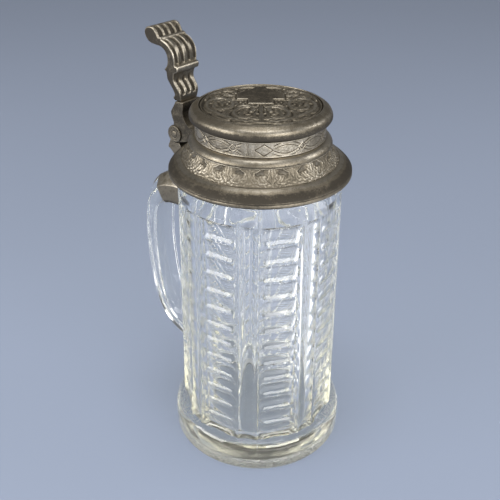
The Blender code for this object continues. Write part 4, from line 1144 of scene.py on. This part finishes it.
def ridges(across, along, strokes, power=0.5):
    """Height, from 0 to 1, of rounded strokes drawn in a plane; each is points, half widths and height.

    A power of a half gives round backs with steep sides, and one gives soft, domed backs.
    """
    height = np.zeros_like(across)
    for points, widths, lift in strokes:
        for start, end, start_width, end_width in zip(points, points[1:], widths, widths[1:]):
            run_x = end[0] - start[0]
            run_y = end[1] - start[1]
            wide = max(start_width, end_width)
            near = (across > min(start[0], end[0]) - wide) & (across < max(start[0], end[0]) + wide)
            near &= (along > min(start[1], end[1]) - wide) & (along < max(start[1], end[1]) + wide)
            if not near.any():
                continue
            x = across[near] - start[0]
            y = along[near] - start[1]
            part = np.clip((x * run_x + y * run_y) / max(run_x**2 + run_y**2, 1e-12), 0.0, 1.0)
            away = np.hypot(x - part * run_x, y - part * run_y)
            width = np.maximum(lerp(start_width, end_width, part), 1e-9)
            height[near] = np.maximum(height[near], lift * dome(away / width) ** power)
    return height


def stroke(points, start_width, end_width, lift=1.0):
    """A smooth stroke through points, thinning from one width to the other."""
    line = curved(points, 6)
    last = len(line) - 1
    return line, [lerp(start_width, end_width, index / last) / 2 for index in range(last + 1)], lift


def leaf_motif(across, down):
    """One leaf of a pair, in millimetres; across runs from the dart between the two to the pair's end."""
    # The leaf's edges waver a little
    across = across + 0.22 * np.sin(1.9 * down + 0.8 * across)
    down = down + 0.2 * np.sin(2.3 * across + 0.6 * down)
    height = ridges(across, down, [stroke(*row) for row in LEAF_STROKES])
    for x, y, size, lift in LEAF_BEADS:
        height = np.maximum(height, lift * np.sqrt(dome(np.hypot(across - x, down - y) / size)))
    ground = 0.4 + 0.12 * smooth_step(down, 3.0, 8.0)
    # The dark hollow over the leaf lies askew
    aside = across - 5.0
    hollow = dome(np.hypot(aside / 3.5, (down - 1.6 - 0.22 * aside) / 1.6))
    ground = ground - 0.85 * hollow * (1.0 - smooth_step(height, 0.0, 0.6))
    return np.clip(ground + 0.5 * height, -0.4, 1.0)


def strap_motif(across, up):
    """One long oval of crossing straps with a rosette, in millimetres, folded about its middle both ways."""
    bend = math.pi / (2 * STRAP_HALF)
    sweep = STRAP_SWING * np.cos(bend * across)
    lean = STRAP_SWING * bend * np.sin(bend * across)
    away = np.abs(up - sweep) / np.sqrt(1.0 + lean**2)
    band = 1.0 - smooth_step(away, 0.42, 0.56)
    groove = line_mark(away - 0.72, 0.17)
    lozenge = np.abs(STRAP_HALF - across) / 2.3 + up / 1.7
    diamond = 1.0 - smooth_step(np.abs(lozenge - 1.0), 0.1, 0.2)
    diamond_groove = line_mark(lozenge - 1.38, 0.12) + line_mark(lozenge - 0.66, 0.12)
    reach = np.hypot(across, up)
    petals = np.clip(1.0 - reach / (1.15 + 0.6 * np.cos(6 * np.arctan2(up, across))), 0.0, 1.0)
    raised = np.maximum(petals, np.sqrt(dome(reach / 0.6)))
    raised = np.maximum(raised, ridges(across, up, [stroke(*row) for row in STRAP_STROKES]))
    for x, y in STRAP_DOTS:
        raised = np.maximum(raised, np.sqrt(dome(np.hypot(across - x, up - y) / STRAP_DOT)))
    height = 0.35 + 0.5 * band - 0.75 * groove - 0.35 * line_mark(away, 0.13)
    height = np.where(lozenge < 1.45, 0.5 + 0.4 * diamond - 0.6 * diamond_groove, height)
    height = np.where(band < 0.2, np.maximum(height, 0.35 + 0.3 * raised - 0.5 * groove), height)
    return np.clip(np.maximum(height, smooth_step(up, *STRAP_BORDER)), -0.4, 1.0)


def seam_motif(across, up):
    """Lozenge and bare ground where the band's two ends meet, in millimetres; elsewhere not a number."""
    wide, tall = SEAM_LOZENGE
    lozenge = np.abs(across) / wide + up / tall
    height = 0.46 - 0.75 * line_mark(lozenge - 1.0, 0.09) + 0.1 * np.clip(1.0 - lozenge, 0.0, 1.0)
    for x in SEAM_CUTS:
        height = height - 0.5 * line_mark(across - x + 0.1 * up, 0.16)
    for x, y, size in SEAM_PITS:
        height = height + 0.3 * dome(np.hypot(across - x, up - y) / size)
    height = np.clip(np.maximum(height, smooth_step(up, *STRAP_BORDER)), -0.4, 1.0)
    left, right = SEAM_ENDS
    return np.where((across > left) & (across < right), height, np.nan)


def carve(item, level, depth):
    """Sink an item's outer face by a carving; level is 1 where the surface stays."""
    normals = coordinates(item.data, "normal")
    write_coordinates(item.data, coordinates(item.data) - normals * ((1.0 - level) * depth)[:, None])


class SteinAddFoliage(bpy.types.Operator):
    """Carve the sloping band of drooping leaves above the flange"""

    bl_idname = "stein.add_foliage"
    bl_label = "Foliage band"

    def execute(self, context):
        sizes = context.scene.stein_lid
        top = FOLIAGE_TOP_RADIUS
        base = FOLIAGE_BASE_RADIUS
        sweep = curved(FOLIAGE_SWEEP, 14)
        outer = [(lerp(top, base, out), lerp(FOLIAGE_TOP, FOLIAGE_BASE, drop)) for out, drop in sweep]
        outline = outer + [(base - BAND_THICKNESS, FOLIAGE_BASE), (top - BAND_THICKNESS, FOLIAGE_TOP)]
        item = settle(turned(outline, sizes.leaf_pairs * 68, closed=True), "dressed_foliage_band")
        radius, turn, height = around(coordinates(item.data))
        line = np.array(outer)
        travel = np.concatenate(([0.0], np.cumsum(np.hypot(*np.diff(line, axis=0).T)))) / MM
        length_down = travel[-1]
        down = np.interp(-height, -line[:, 1], travel)
        front = radius > np.interp(-height, -line[:, 1], line[:, 0]) - FACE_DEPTH
        offset = folded(turn - FOLIAGE_TURN, sizes.leaf_pairs)
        level = leaf_motif(offset * LEAF_ACROSS, down * LEAF_DOWN / length_down)
        # The carving runs out at both edges of the band
        ends = smooth_step(down, 0.0, 0.25) * (1.0 - smooth_step(down, length_down - 0.3, length_down))
        level = np.where(front, 1.0 - (1.0 - level) * ends, 1.0)
        carve(item, level, sizes.leaf_depth)
        mark_relief_and_painted_light(item.data, np.where(front, 0.36 + level * 0.36, 0.5), 0.5 * MM, 1, lean=0.0)
        dress(item, pewter_finish("carved_pewter", dull=0.1), "lid", "relief_pewter", "lid_foliage_band")
        return {"FINISHED"}


class SteinAddStrapwork(bpy.types.Operator):
    """Carve the upright band of crossing straps, ovals and rosettes"""

    bl_idname = "stein.add_strapwork"
    bl_label = "Strapwork band"

    def execute(self, context):
        sizes = context.scene.stein_lid
        face = [(STRAPWORK_RADIUS, height) for height in stations(STRAPWORK_TOP, STRAPWORK_BASE, 40)]
        outline = face + [(RING_BORE, STRAPWORK_BASE), (RING_BORE, STRAPWORK_TOP)]
        item = settle(turned(outline, sizes.straps * 80, closed=True), "dressed_strapwork_band")
        radius, turn, height = around(coordinates(item.data))
        up = np.abs(height - (STRAPWORK_TOP + STRAPWORK_BASE) / 2) / MM
        level = strap_motif(folded(turn - STRAPWORK_TURN, sizes.straps) * STRAP_HALF, up)
        joined = seam_motif((turn - STRAPWORK_SEAM) * STRAPWORK_RADIUS / MM, up)
        front = radius > STRAPWORK_RADIUS - FACE_DEPTH
        level = np.where(front, np.where(np.isnan(joined), level, joined), 1.0)
        carve(item, level, sizes.strap_depth)
        tone = 0.02 + 0.58 * smooth_step(level, -0.1, 0.33) + 0.12 * level
        mark_relief_and_painted_light(item.data, np.where(front, tone, 0.5), 0.35 * MM, 1, weight=0.8, lean=0.0)
        dress(item, pewter_finish("strapwork_pewter", dull=0.1), "lid", "relief_pewter", "lid_strapwork_band")
        return {"FINISHED"}


# Disc with scrollwork round a bare plaque. One half is drawn, in millimetres out from its middle line and
# down towards the front. A scroll has points, widths at its start and end, and the radius of its end ball,
# and a leaf has three points and a width

LARGE_SCROLL = (
    (0.6, 25.8), (7.6, 23.8), (14.2, 19.4), (20.4, 13.4), (24.6, 8.2), (26.0, 1.6), (24.6, -4.4),
    (20.6, -7.6), (16.4, -6.6), (13.8, -2.4), (13.6, 3.2), (16.2, 7.6), (20.0, 8.2), (22.6, 5.2),
    (21.8, 1.6),
)
SMALL_SCROLL = (
    (0.8, 21.6), (6.4, 20.6), (10.8, 18.4), (12.8, 13.8), (11.8, 9.0), (8.8, 5.6), (5.2, 5.2), (3.2, 7.8),
    (4.6, 10.6),
)
BACK_SCROLL = (
    (27.0, -5.6), (25.8, -11.2), (22.0, -16.2), (17.0, -18.6), (12.8, -17.0), (12.2, -13.4),
    (15.2, -11.4), (17.8, -13.2),
)
SCROLLS = ((LARGE_SCROLL, 2.9, 1.9, 1.9), (SMALL_SCROLL, 2.7, 1.7, 1.5), (BACK_SCROLL, 2.2, 1.6, 1.3))
REAR_SCROLL = ((12.4, -22.2), (8.4, -24.4), (3.2, -24.8), (0.8, -22.8))
SCROLL_MIDDLES = ((20.0, 2.0), (8.0, 12.0), (17.0, -15.0))
SCROLL_LEAVES = (
    ((0.0, 24.6), (0.0, 19.0), (0.0, 12.6), 4.0),
    ((0.0, 12.0), (0.0, 7.0), (0.0, 1.8), 3.0),
    ((1.0, 19.6), (3.4, 17.0), (2.6, 12.4), 2.6),
    ((1.2, 13.6), (2.4, 12.6), (1.6, 9.4), 1.6),
    ((5.2, 18.8), (9.2, 16.4), (8.6, 11.6), 3.2),
    ((9.6, 13.4), (8.0, 10.2), (6.4, 9.4), 1.8),
    ((11.8, 20.8), (15.8, 18.6), (15.4, 12.6), 3.4),
    ((17.2, 14.8), (17.0, 12.0), (14.6, 8.8), 2.6),
    ((14.6, 22.6), (19.8, 19.4), (22.8, 14.2), 2.6),
    ((22.6, 13.0), (26.0, 9.6), (27.6, 4.0), 2.4),
    ((9.0, 3.6), (11.6, 4.6), (12.0, 9.0), 2.0),
    ((2.0, 4.4), (6.0, 2.4), (11.0, 2.2), 2.2),
    ((14.0, -2.0), (11.4, -0.6), (12.4, 3.0), 2.4),
    ((15.4, 3.6), (17.4, 5.4), (20.0, 5.0), 2.4),
    ((15.0, -3.8), (18.6, -1.8), (18.2, 2.6), 3.0),
    ((18.0, -6.2), (22.0, -4.0), (21.2, -0.6), 3.0),
    ((23.2, -5.6), (23.2, -9.4), (19.0, -9.6), 2.8),
    ((15.8, -7.6), (14.6, -9.6), (16.2, -11.0), 1.8),
    ((27.4, -6.2), (27.6, -9.0), (25.8, -12.8), 1.8),
    ((23.4, -13.4), (21.6, -12.0), (19.6, -13.2), 2.2),
    ((21.4, -18.4), (16.8, -22.0), (12.8, -19.6), 2.6),
    ((19.4, -17.8), (18.4, -15.6), (15.4, -15.4), 2.2),
    ((10.2, -21.0), (9.4, -18.4), (10.6, -15.2), 2.4),
    ((15.6, -23.2), (10.0, -26.6), (4.0, -27.2), 1.8),
    ((0.0, -27.4), (0.0, -25.4), (0.0, -21.8), 2.4),
    ((3.0, 25.6), (8.0, 26.6), (13.4, 23.8), 2.0),
)
SCROLL_EDGE = 27.0
LOBE_PITCH = 2.6
LOBE_LENGTH = 1.3
LOBE_WIDTH = 1.7


def leaf(start, bend, end, width):
    """A pointed leaf that swells in its middle."""
    line = curved([start, bend, end], 7)
    last = len(line) - 1
    swell = [math.sin(math.pi * (0.12 + 0.86 * index / last)) ** 0.8 for index in range(last + 1)]
    return line, [width / 2 * part for part in swell], 0.85


def scroll_strokes():
    """Scrolls, leaves and lobes of one half of the disc."""
    strokes = []
    for points, thick, thin, ball in SCROLLS:
        strokes.append(stroke(points, thick, thin))
        strokes.append((points[-1:] * 2, [ball, ball], 1.0))
    strokes.append(stroke(REAR_SCROLL, 1.4, 2.2))
    strokes += [leaf(*row) for row in SCROLL_LEAVES]
    # Small lobes fill what ground is left, each turned round the nearest scroll
    end = SCROLL_EDGE + 0.5
    rows, columns = np.meshgrid(
        np.arange(-SCROLL_EDGE, end, LOBE_PITCH), np.arange(0.8, end, LOBE_PITCH), indexing="ij"
    )
    columns = columns + LOBE_PITCH / 2 * (np.arange(len(rows)) % 2)[:, None]
    bare = (ridges(columns, rows, strokes) < 0.3) & (np.hypot(columns, rows) < SCROLL_EDGE + 0.6)
    for x, y in zip(columns[bare], rows[bare]):
        middle = min(SCROLL_MIDDLES, key=lambda centre: math.dist(centre, (x, y)))
        turn = math.atan2(y - middle[1], x - middle[0]) + 1.0
        step_x = LOBE_LENGTH * math.cos(turn)
        step_y = LOBE_LENGTH * math.sin(turn)
        points = ((x - step_x, y - step_y), (x + 0.3 * step_y, y), (x + step_x, y + step_y))
        strokes.append(leaf(*points, LOBE_WIDTH))
    return strokes


def vein_strokes(strokes):
    """Thin veins along the middle of the leaves, which stand lower than the scrolls."""
    leaves = [line for line, _widths, lift in strokes if lift < 1.0]
    return [(line, [0.16, *([0.22] * (len(line) - 2)), 0.12], 1.0) for line in leaves]


def plaque_distance(across, down, sizes):
    """Distance outside the stepped plaque in millimetres, below zero inside it."""
    wide = sizes.plaque_width / MM / 2
    deep = sizes.plaque_depth / MM / 2
    notch = sizes.plaque_notch / MM
    place = down + sizes.plaque_place / MM
    slope = (across - (wide - notch)) / notch
    arm = np.maximum(place - PLAQUE_BAR * deep, -place - deep * (1.0 - 0.55 * slope))
    block = np.maximum(across - (wide - notch), np.abs(place) - deep)
    return np.minimum(np.maximum(across - wide, arm), block)


class SteinAddDisc(bpy.types.Operator):
    """Raise foliate scrolls round the bare stepped plaque on the lid's top disc"""

    bl_idname = "stein.add_disc"
    bl_label = "Scrollwork disc"

    def execute(self, context):
        sizes = context.scene.stein_lid
        thick = DISC_HIGH.z - DISC_LOW.z
        field = DISC_FIELD * DRUM_RADIUS
        outline = [(radius, DISC_LOW.z + 0.5 * thick) for radius in stations(0.0, field, 84)]
        outline += [(DRUM_RADIUS * out, DISC_LOW.z + thick * up) for out, up in DISC_RIM]
        outline.append((0.0, DISC_LOW.z))
        item = settle(turned(outline, 400), "dressed_relief_disc")
        places = coordinates(item.data)
        radius, _turn, height = around(places)
        along = math.cos(sizes.disc_turn)
        aside = math.sin(sizes.disc_turn)
        across = np.abs(places[:, 0] * along + places[:, 1] * aside) / MM
        down = (places[:, 1] * along - places[:, 0] * aside) / MM
        top = (height > DISC_LOW.z + 0.4 * thick) & (radius < FIELD_END * DRUM_RADIUS)
        strokes = scroll_strokes()
        veins = ridges(across, down, vein_strokes(strokes), 1.0)
        away = plaque_distance(across, down, sizes)
        scroll = (ridges(across, down, strokes, 0.8) - 0.28 * veins) * smooth_step(away, 0.4, 1.0)
        scroll *= 1.0 - smooth_step(radius, field - 0.8 * MM, field - 0.1 * MM)
        plain = 1.0 - smooth_step(away, -0.2, 0.2)
        rise = np.where(top, np.maximum(scroll, plain * 0.9), 0.0)
        places[:, 2] += rise * min(sizes.disc_depth, 0.49 * thick)
        write_coordinates(item.data, places)
        level = np.where(top, 0.22 + 0.7 * rise, 0.6)
        level = np.where(top & (away < -0.5), 0.2, level)
        level = np.where(radius > DISC_SIDE * DRUM_RADIUS, 0.0, level)
        mark_relief_and_painted_light(item.data, level - 0.05, 0.4 * MM, 1, weight=0.7, lean=0.0)
        dress(item, pewter_finish("disc_pewter", dull=0.04), "lid", "relief_pewter", "lid_relief_disc")
        return {"FINISHED"}


# Hinge, bracket and strap


def ring_edges():
    """Low and high Y of each hinge ring."""
    low = -HINGE_WIDTH / 2
    step = RING_WIDTH + SEAT
    return [(low + index * step, low + index * step + RING_WIDTH) for index in range(HINGE_RINGS)]


def ring_gaps(parity, radius):
    """Bars that clear the other leaf's rings."""
    tools = []
    for index, (low, high) in enumerate(ring_edges()):
        if index % 2 != parity:
            low_y = low - (SEAT if index > 0 else CUT_OVERRUN)
            high_y = high + (SEAT if index < HINGE_RINGS - 1 else CUT_OVERRUN)
            tools.append(settle(cylinder(radius + RING_CLEARANCE, low_y, high_y), f"ring_gap_{index}"))
    return tools


def strap_rings(growth, overrun=0.0):
    """Sections along the strap's stretch of the handle, grown all round and drawn out at both ends."""
    extra = overrun / HANDLE_REACH * (len(HANDLE_SHARES) - 1)
    start, end = STRAP_STATIONS
    return [handle_ring(station, growth) for station in stations(start - extra, end + extra, 30)]


def shank_outline():
    """Side view of the shank, from its front up round the rings and down its pointed leaf."""
    wall = wall_radius(RIM_HEIGHT)
    centre, _normal, half_thickness = handle_station(STRAP_STATIONS[0])
    top = centre.z + half_thickness + SEAT + STRAP_THICKNESS
    front, leaf_side = (
        curved([(lerp(wall, PIN_X, out), lerp(top, PIN_Z, up)) for out, up in side], 4)
        for side in (SHANK_FRONT, SHANK_LEAF)
    )
    return front + arc(PIN_X, PIN_Z, SHANK_RING_RADIUS, 250, -42, 40) + leaf_side


def bracket_outline():
    """Side view of the bracket, from its hollow front over its top and down its back round the rings."""
    front = [(PIN_X - out * BRACKET_REACH, PIN_Z + up * BRACKET_RISE) for out, up in BRACKET_FRONT]
    back = [(PIN_X + out * BRACKET_DEPTH, PIN_Z + up * BRACKET_RISE) for out, up in BRACKET_BACK]
    rings = arc(PIN_X, PIN_Z, LID_RING_RADIUS, 80, -120, 36)
    return front[:3] + curved(front[3:], 5) + curved(back, 4) + rings


def lid_outline(clearance):
    """The lid's envelope, grown by a clearance, that the bracket is fitted to."""
    neck = STRAPWORK_RADIUS + clearance
    waist = WAIST_RADIUS + clearance
    return [
        (0.0, CROWN_TOP),
        (neck, CROWN_TOP),
        (neck, WAIST_TOP + clearance),
        (waist, WAIST_TOP + clearance),
        (waist, WAIST_BASE),
        (FOLIAGE_TOP_RADIUS + clearance, FOLIAGE_TOP + clearance),
        (FOLIAGE_BASE_RADIUS + clearance, FOLIAGE_BASE + clearance),
        *flange_slope(clearance),
        (FLANGE_RADIUS + clearance, LID_UNDERSIDE - clearance),
        (0.0, LID_UNDERSIDE - clearance),
    ]


def hinge_leaf(name, outline, fit, parity, ring_radius, finish, body):
    """One leaf of the hinge, cut to what it sits on, to the other leaf's rings and to the pin."""
    half = HINGE_WIDTH / 2
    item = settle(plate(outline, -half, half), "dressed_" + name)
    bore = settle(cylinder(PIN_BORE, -half - CUT_OVERRUN, half + CUT_OVERRUN), "bore")
    combine(item, [fit, *ring_gaps(parity, ring_radius), bore], "DIFFERENCE")
    soften(item, bpy.context.scene.stein_hinge.edge)
    frame_flats(item, FLAT_BORDER)
    mark_relief_and_painted_light(item.data, 0.25)
    dress(item, finish, body, "pewter", name)


class SteinAddHinge(bpy.types.Operator):
    """Build the hinge's shank and pin, the bracket on the lid and its two rosettes"""

    bl_idname = "stein.add_hinge"
    bl_label = "Hinge and bracket"

    def execute(self, context):
        finish = pewter_finish("hinge_pewter")
        half = HINGE_WIDTH / 2
        saddle = settle(lofted(strap_rings(2 * SEAT + context.scene.stein_hinge.strap, 2 * SEAT)), "saddle")
        hinge_leaf("hinge_shank", shank_outline(), saddle, 1, LID_RING_RADIUS, finish, "mug")
        seat = settle(turned(lid_outline(SEAT), 192), "lid_seat")
        hinge_leaf("lid_bracket", bracket_outline(), seat, 0, SHANK_RING_RADIUS, finish, "lid")
        pin = settle(cylinder(PIN_RADIUS, -half, half), "dressed_hinge_pin")
        soften(pin, 0.25 * MM)
        dress(pin, steel_finish("pin_steel"), "mug", "pin", "hinge_pin")
        outline = [(out * ROSETTE_RADIUS, up * ROSETTE_HEIGHT) for out, up in ROSETTE_SHARES]
        for name, side in (("hinge_rosette_left", 1), ("hinge_rosette_right", -1)):
            form = turned(outline, 96)
            turn = Matrix.Rotation(-side * math.pi / 2, 4, "X")
            place = Matrix.Translation((PIN_X, side * (half + SEAT), PIN_Z)) @ turn
            bmesh.ops.transform(form, matrix=place, verts=form.verts)
            item = settle(form, "dressed_" + name)
            smoothed(item.data, TURNED_CREASE)
            mark_relief_and_painted_light(item.data, 0.2, weight=0.7, lean=0.0)
            dress(item, finish, "lid", "relief_pewter", name)
        return {"FINISHED"}


def tongue_ring(station, width, thickness):
    """The bevelled section of the tongue at a station."""
    start, end = TONGUE_STATIONS
    part = (station - start) / (end - start)
    centre, normal, half_thickness = handle_station(station)
    middle = centre + normal * (half_thickness + SEAT + thickness / 2)
    side = Vector((0.0, width / 2 * lerp(1.0, TONGUE_TIP, part**2), 0.0))
    lift = normal * (TONGUE_THICKNESS / 2)
    right = [middle + lift + side * TONGUE_TOP, middle + side, middle - lift + side]
    return right + [middle - lift - side, middle - side, middle + lift - side * TONGUE_TOP]


class SteinAddStrap(bpy.types.Operator):
    """Wrap the strap round the handle's upper root, with its pointed tongue"""

    bl_idname = "stein.add_strap"
    bl_label = "Handle strap"

    def execute(self, context):
        sizes = context.scene.stein_hinge
        item = settle(lofted(strap_rings(SEAT + sizes.strap)), "dressed_handle_strap")
        places = stations(*TONGUE_STATIONS, 24)
        tongue = lofted([tongue_ring(station, sizes.tongue, sizes.strap) for station in places])
        combine(item, [settle(tongue, "tongue")], "UNION")
        combine(item, [settle(lofted(strap_rings(SEAT, 2 * SEAT)), "strap_bore")], "DIFFERENCE")
        soften(item, 0.3 * MM)
        mark_relief_and_painted_light(item.data)
        dress(item, pewter_finish("strap_pewter"), "mug", "pewter", "handle_strap")
        return {"FINISHED"}


# Thumb lift


def thumb_place(pair):
    """A pair of shares as a place in the lift's side view."""
    return lerp(THUMB_LOW.x, THUMB_HIGH.x, pair[0]), lerp(THUMB_LOW.z, THUMB_HIGH.z, pair[1])


def thumb_half_width(height, sizes):
    part = np.clip((height - THUMB_LOW.z) / (THUMB_HIGH.z - THUMB_LOW.z), 0.0, 1.0)
    return lerp(sizes.thumb_base, sizes.thumb_top, part**LIFT_FLARE) / 2


def lift_carving(station, side, depth):
    """How far the lift's front is sunk at its stations: reeds and flutes, with two bars that stand proud."""
    sunk = np.zeros(len(station))
    for start, full, fade, end, middles, half in LIFT_GROOVES:
        along = smooth_step(station, start, full) * (1.0 - smooth_step(station, fade, end))
        sunk += along * np.max([dome((side - middle) / half) for middle in middles], axis=0) * depth
    for middle, reach, rise in LIFT_BARS:
        sunk -= rise * np.sqrt(dome((station - middle) / reach))
    return sunk


class SteinAddThumbLift(bpy.types.Operator):
    """Build the thumb lift with its reeds, crossbar and fluted curl"""

    bl_idname = "stein.add_thumb_lift"
    bl_label = "Thumb lift"

    def execute(self, context):
        sizes = context.scene.stein_hinge
        outline = curved([thumb_place(pair) for pair in THUMB_FRONT + THUMB_CURL + THUMB_BACK], LIFT_STEPS)
        item = settle(plate(outline, -1.0, 1.0, 72), "dressed_thumb_lift")
        mesh = item.data
        places = coordinates(mesh)
        half = thumb_half_width(places[:, 2], sizes)
        # Columns gather towards the rounded side edges
        side = np.sign(places[:, 1]) * (1.0 - (1.0 - np.abs(places[:, 1])) ** LIFT_GATHER)
        places[:, 1] = side * half
        write_coordinates(mesh, places)
        normals = coordinates(mesh, "normal")
        normals[:, 1] = 0.0
        normals /= np.maximum(np.linalg.norm(normals, axis=1), 1e-6)[:, None]
        line = np.array([thumb_place(pair) for pair in curved(THUMB_FRONT + THUMB_CURL, LIFT_STEPS)])
        spans = (places[:, None, 0] - line[None, :, 0]) ** 2 + (places[:, None, 2] - line[None, :, 1]) ** 2
        on_front = spans.min(1) < (0.05 * MM) ** 2
        carving = lift_carving(spans.argmin(1) / LIFT_STEPS, side, sizes.reed_depth)
        sunk = np.where(on_front, carving, 0.0)
        edge = np.clip(1.0 - (1.0 - np.abs(side)) * half / ROUNDED_WIDTH, 0.0, 1.0)
        places -= normals * (sunk + LIFT_ROUNDING * edge**2)[:, None]
        write_coordinates(mesh, np.clip(places, THUMB_LOW, THUMB_HIGH))
        frame_flats(item, LIFT_BORDER)
        smoothed(mesh, LIFT_CREASE)
        level = 0.66 - 0.64 * np.clip(sunk / (0.8 * MM), 0.0, 1.0) - 0.2 * np.minimum(sunk, 0.0) / MM
        level = np.where(on_front, level, 0.3)
        # The border's new points lie on the lift's flat sides
        sides = np.full(len(mesh.vertices) - len(level), 0.12)
        mark_relief_and_painted_light(mesh, np.append(level, sides), 0.6 * MM, 1, weight=0.65)
        dress(item, pewter_finish("thumb_lift_pewter"), "lid", "relief_pewter", "thumb_lift")
        return {"FINISHED"}


# Stage

# Lamps by azimuth and elevation in degrees and distance in metres, and by width and height in metres
LAMPS = {
    "right": ((160.0, 20.0, 1.3), (1.0, 0.6)),
    "left": ((64.0, 20.0, 1.3), (1.0, 0.6)),
    "side": ((228.0, 32.0, 1.2), (0.3, 0.5)),
}
CARD = ((170.0, 0.0, 0.32), (0.55, 0.45))
CARD_TURN = math.radians(80.0)
TOP_LAMP_ANGLE = math.radians(36.0)
TOP_LAMP_TURN = (math.radians(6.0), 0.0, math.radians(217.0))
LAMP_TARGET = (0.0, 0.0, 0.11)
CARD_TARGET = (0.0, 0.0, 0.001)
FLOOR_GAP = 0.1 * MM


def area_lamp(name, target, bearing, size, power):
    """A soft lamp that faces a target from a bearing."""
    azimuth, elevation, distance = bearing
    turn = Matrix.Rotation(math.radians(azimuth), 3, "Z") @ Matrix.Rotation(math.radians(-elevation), 3, "Y")
    outward = turn @ Vector((1.0, 0.0, 0.0))
    lamp = bpy.data.lights.new(name, "AREA")
    lamp.shape = "RECTANGLE"
    lamp.size, lamp.size_y = size
    lamp.energy = power
    item = placed(name, lamp)
    item.visible_camera = False
    item.location = Vector(target) + outward * distance
    item.rotation_euler = (-outward).to_track_quat("-Z", "Y").to_euler()
    return item


def soft_sky(stage):
    """Plain world light that changes a little from the sides to overhead."""
    world = bpy.data.worlds.new("soft_light")
    bpy.context.scene.world = world
    world.use_nodes = True
    graph = Graph(world.node_tree)
    level = stage.horizon + graph.height("Generated").step(0.0, 0.9) * (stage.sky - stage.horizon)
    shade = graph.node("ShaderNodeCombineXYZ", None, (level, level, level)).outputs[0]
    sky = graph.node("ShaderNodeBackground", None, {"Color": shade})
    graph.node("ShaderNodeOutputWorld", None, {"Surface": sky.outputs[0]})


class SteinAddStage(bpy.types.Operator):
    """Lay the pale floor, hang the soft lamps and stand the camera"""

    bl_idname = "stein.add_stage"
    bl_label = "Stage"

    def execute(self, context):
        stage = context.scene.stein_stage
        form = bmesh.new()
        bmesh.ops.create_grid(form, x_segments=8, y_segments=8, size=stage.floor_size / 2)
        bmesh.ops.translate(form, vec=(0.0, 0.0, -FLOOR_GAP), verts=form.verts)
        floor = settle(form, "floor")
        floor.data.materials.append(floor_finish("floor_finish"))
        soft_sky(stage)
        for name, (bearing, size) in LAMPS.items():
            area_lamp(name + "_lamp", LAMP_TARGET, bearing, size, getattr(stage, name))
        card = area_lamp("card", CARD_TARGET, *CARD, stage.card)
        card.rotation_euler = (math.pi, 0.0, CARD_TURN)
        lamp = bpy.data.lights.new("top_lamp", "SUN")
        lamp.energy = stage.top
        lamp.angle = TOP_LAMP_ANGLE
        item = placed("top_lamp", lamp)
        item.visible_camera = False
        item.rotation_euler = TOP_LAMP_TURN
        camera = bpy.data.cameras.new("camera")
        camera.lens = stage.lens
        camera.clip_start = 0.01
        item = placed("camera", camera)
        look = Vector(stage.aim).to_track_quat("-Z", "Y").to_matrix().to_4x4()
        item.matrix_world = Matrix.Translation(stage.place) @ look @ Matrix.Rotation(stage.roll, 4, "Z")
        context.scene.camera = item
        context.scene.view_settings.view_transform = "Standard"
        cycles = context.scene.cycles
        # Light is turned back many times inside thick glass before it gets out
        cycles.max_bounces = 32
        cycles.glossy_bounces = 24
        cycles.transmission_bounces = 24
        # The glass already lets lamplight through to what lies behind it, so it isn't counted twice
        cycles.caustics_refractive = False
        cycles.caustics_reflective = False
        return {"FINISHED"}


OPERATORS = (
    SteinAddGlass,
    SteinAddTurnings,
    SteinAddFoliage,
    SteinAddStrapwork,
    SteinAddDisc,
    SteinAddHinge,
    SteinAddStrap,
    SteinAddThumbLift,
    SteinAddStage,
)

SETTINGS = {
    "stein_glass": SteinGlassSizes,
    "stein_lid": SteinLidSizes,
    "stein_hinge": SteinHingeSizes,
    "stein_finishes": SteinFinishes,
    "stein_stage": SteinStage,
}


class SteinPanel(bpy.types.Panel):
    """Lists the stein's pieces"""

    bl_idname = "VIEW3D_PT_stein"
    bl_label = "Stein"
    bl_space_type = "VIEW_3D"
    bl_region_type = "UI"
    bl_category = "Stein"

    def draw(self, context):
        for operator in OPERATORS:
            self.layout.operator(operator.bl_idname)
        for name, group in SETTINGS.items():
            box = self.layout.box()
            for key in group.__annotations__:
                box.prop(getattr(context.scene, name), key)


def register():
    for name, group in SETTINGS.items():
        bpy.utils.register_class(group)
        setattr(bpy.types.Scene, name, bpy.props.PointerProperty(type=group))
    for operator in OPERATORS:
        bpy.utils.register_class(operator)
    bpy.utils.register_class(SteinPanel)


def unregister():
    bpy.utils.unregister_class(SteinPanel)
    for operator in reversed(OPERATORS):
        bpy.utils.unregister_class(operator)
    for name, group in reversed(SETTINGS.items()):
        delattr(bpy.types.Scene, name)
        bpy.utils.unregister_class(group)


def main():
    register()
    bpy.ops.stein.add_glass()
    bpy.ops.stein.add_turnings()
    bpy.ops.stein.add_foliage()
    bpy.ops.stein.add_strapwork()
    bpy.ops.stein.add_disc()
    bpy.ops.stein.add_hinge()
    bpy.ops.stein.add_strap()
    bpy.ops.stein.add_thumb_lift()
    bpy.ops.stein.add_stage()


if __name__ == "__main__":
    main()
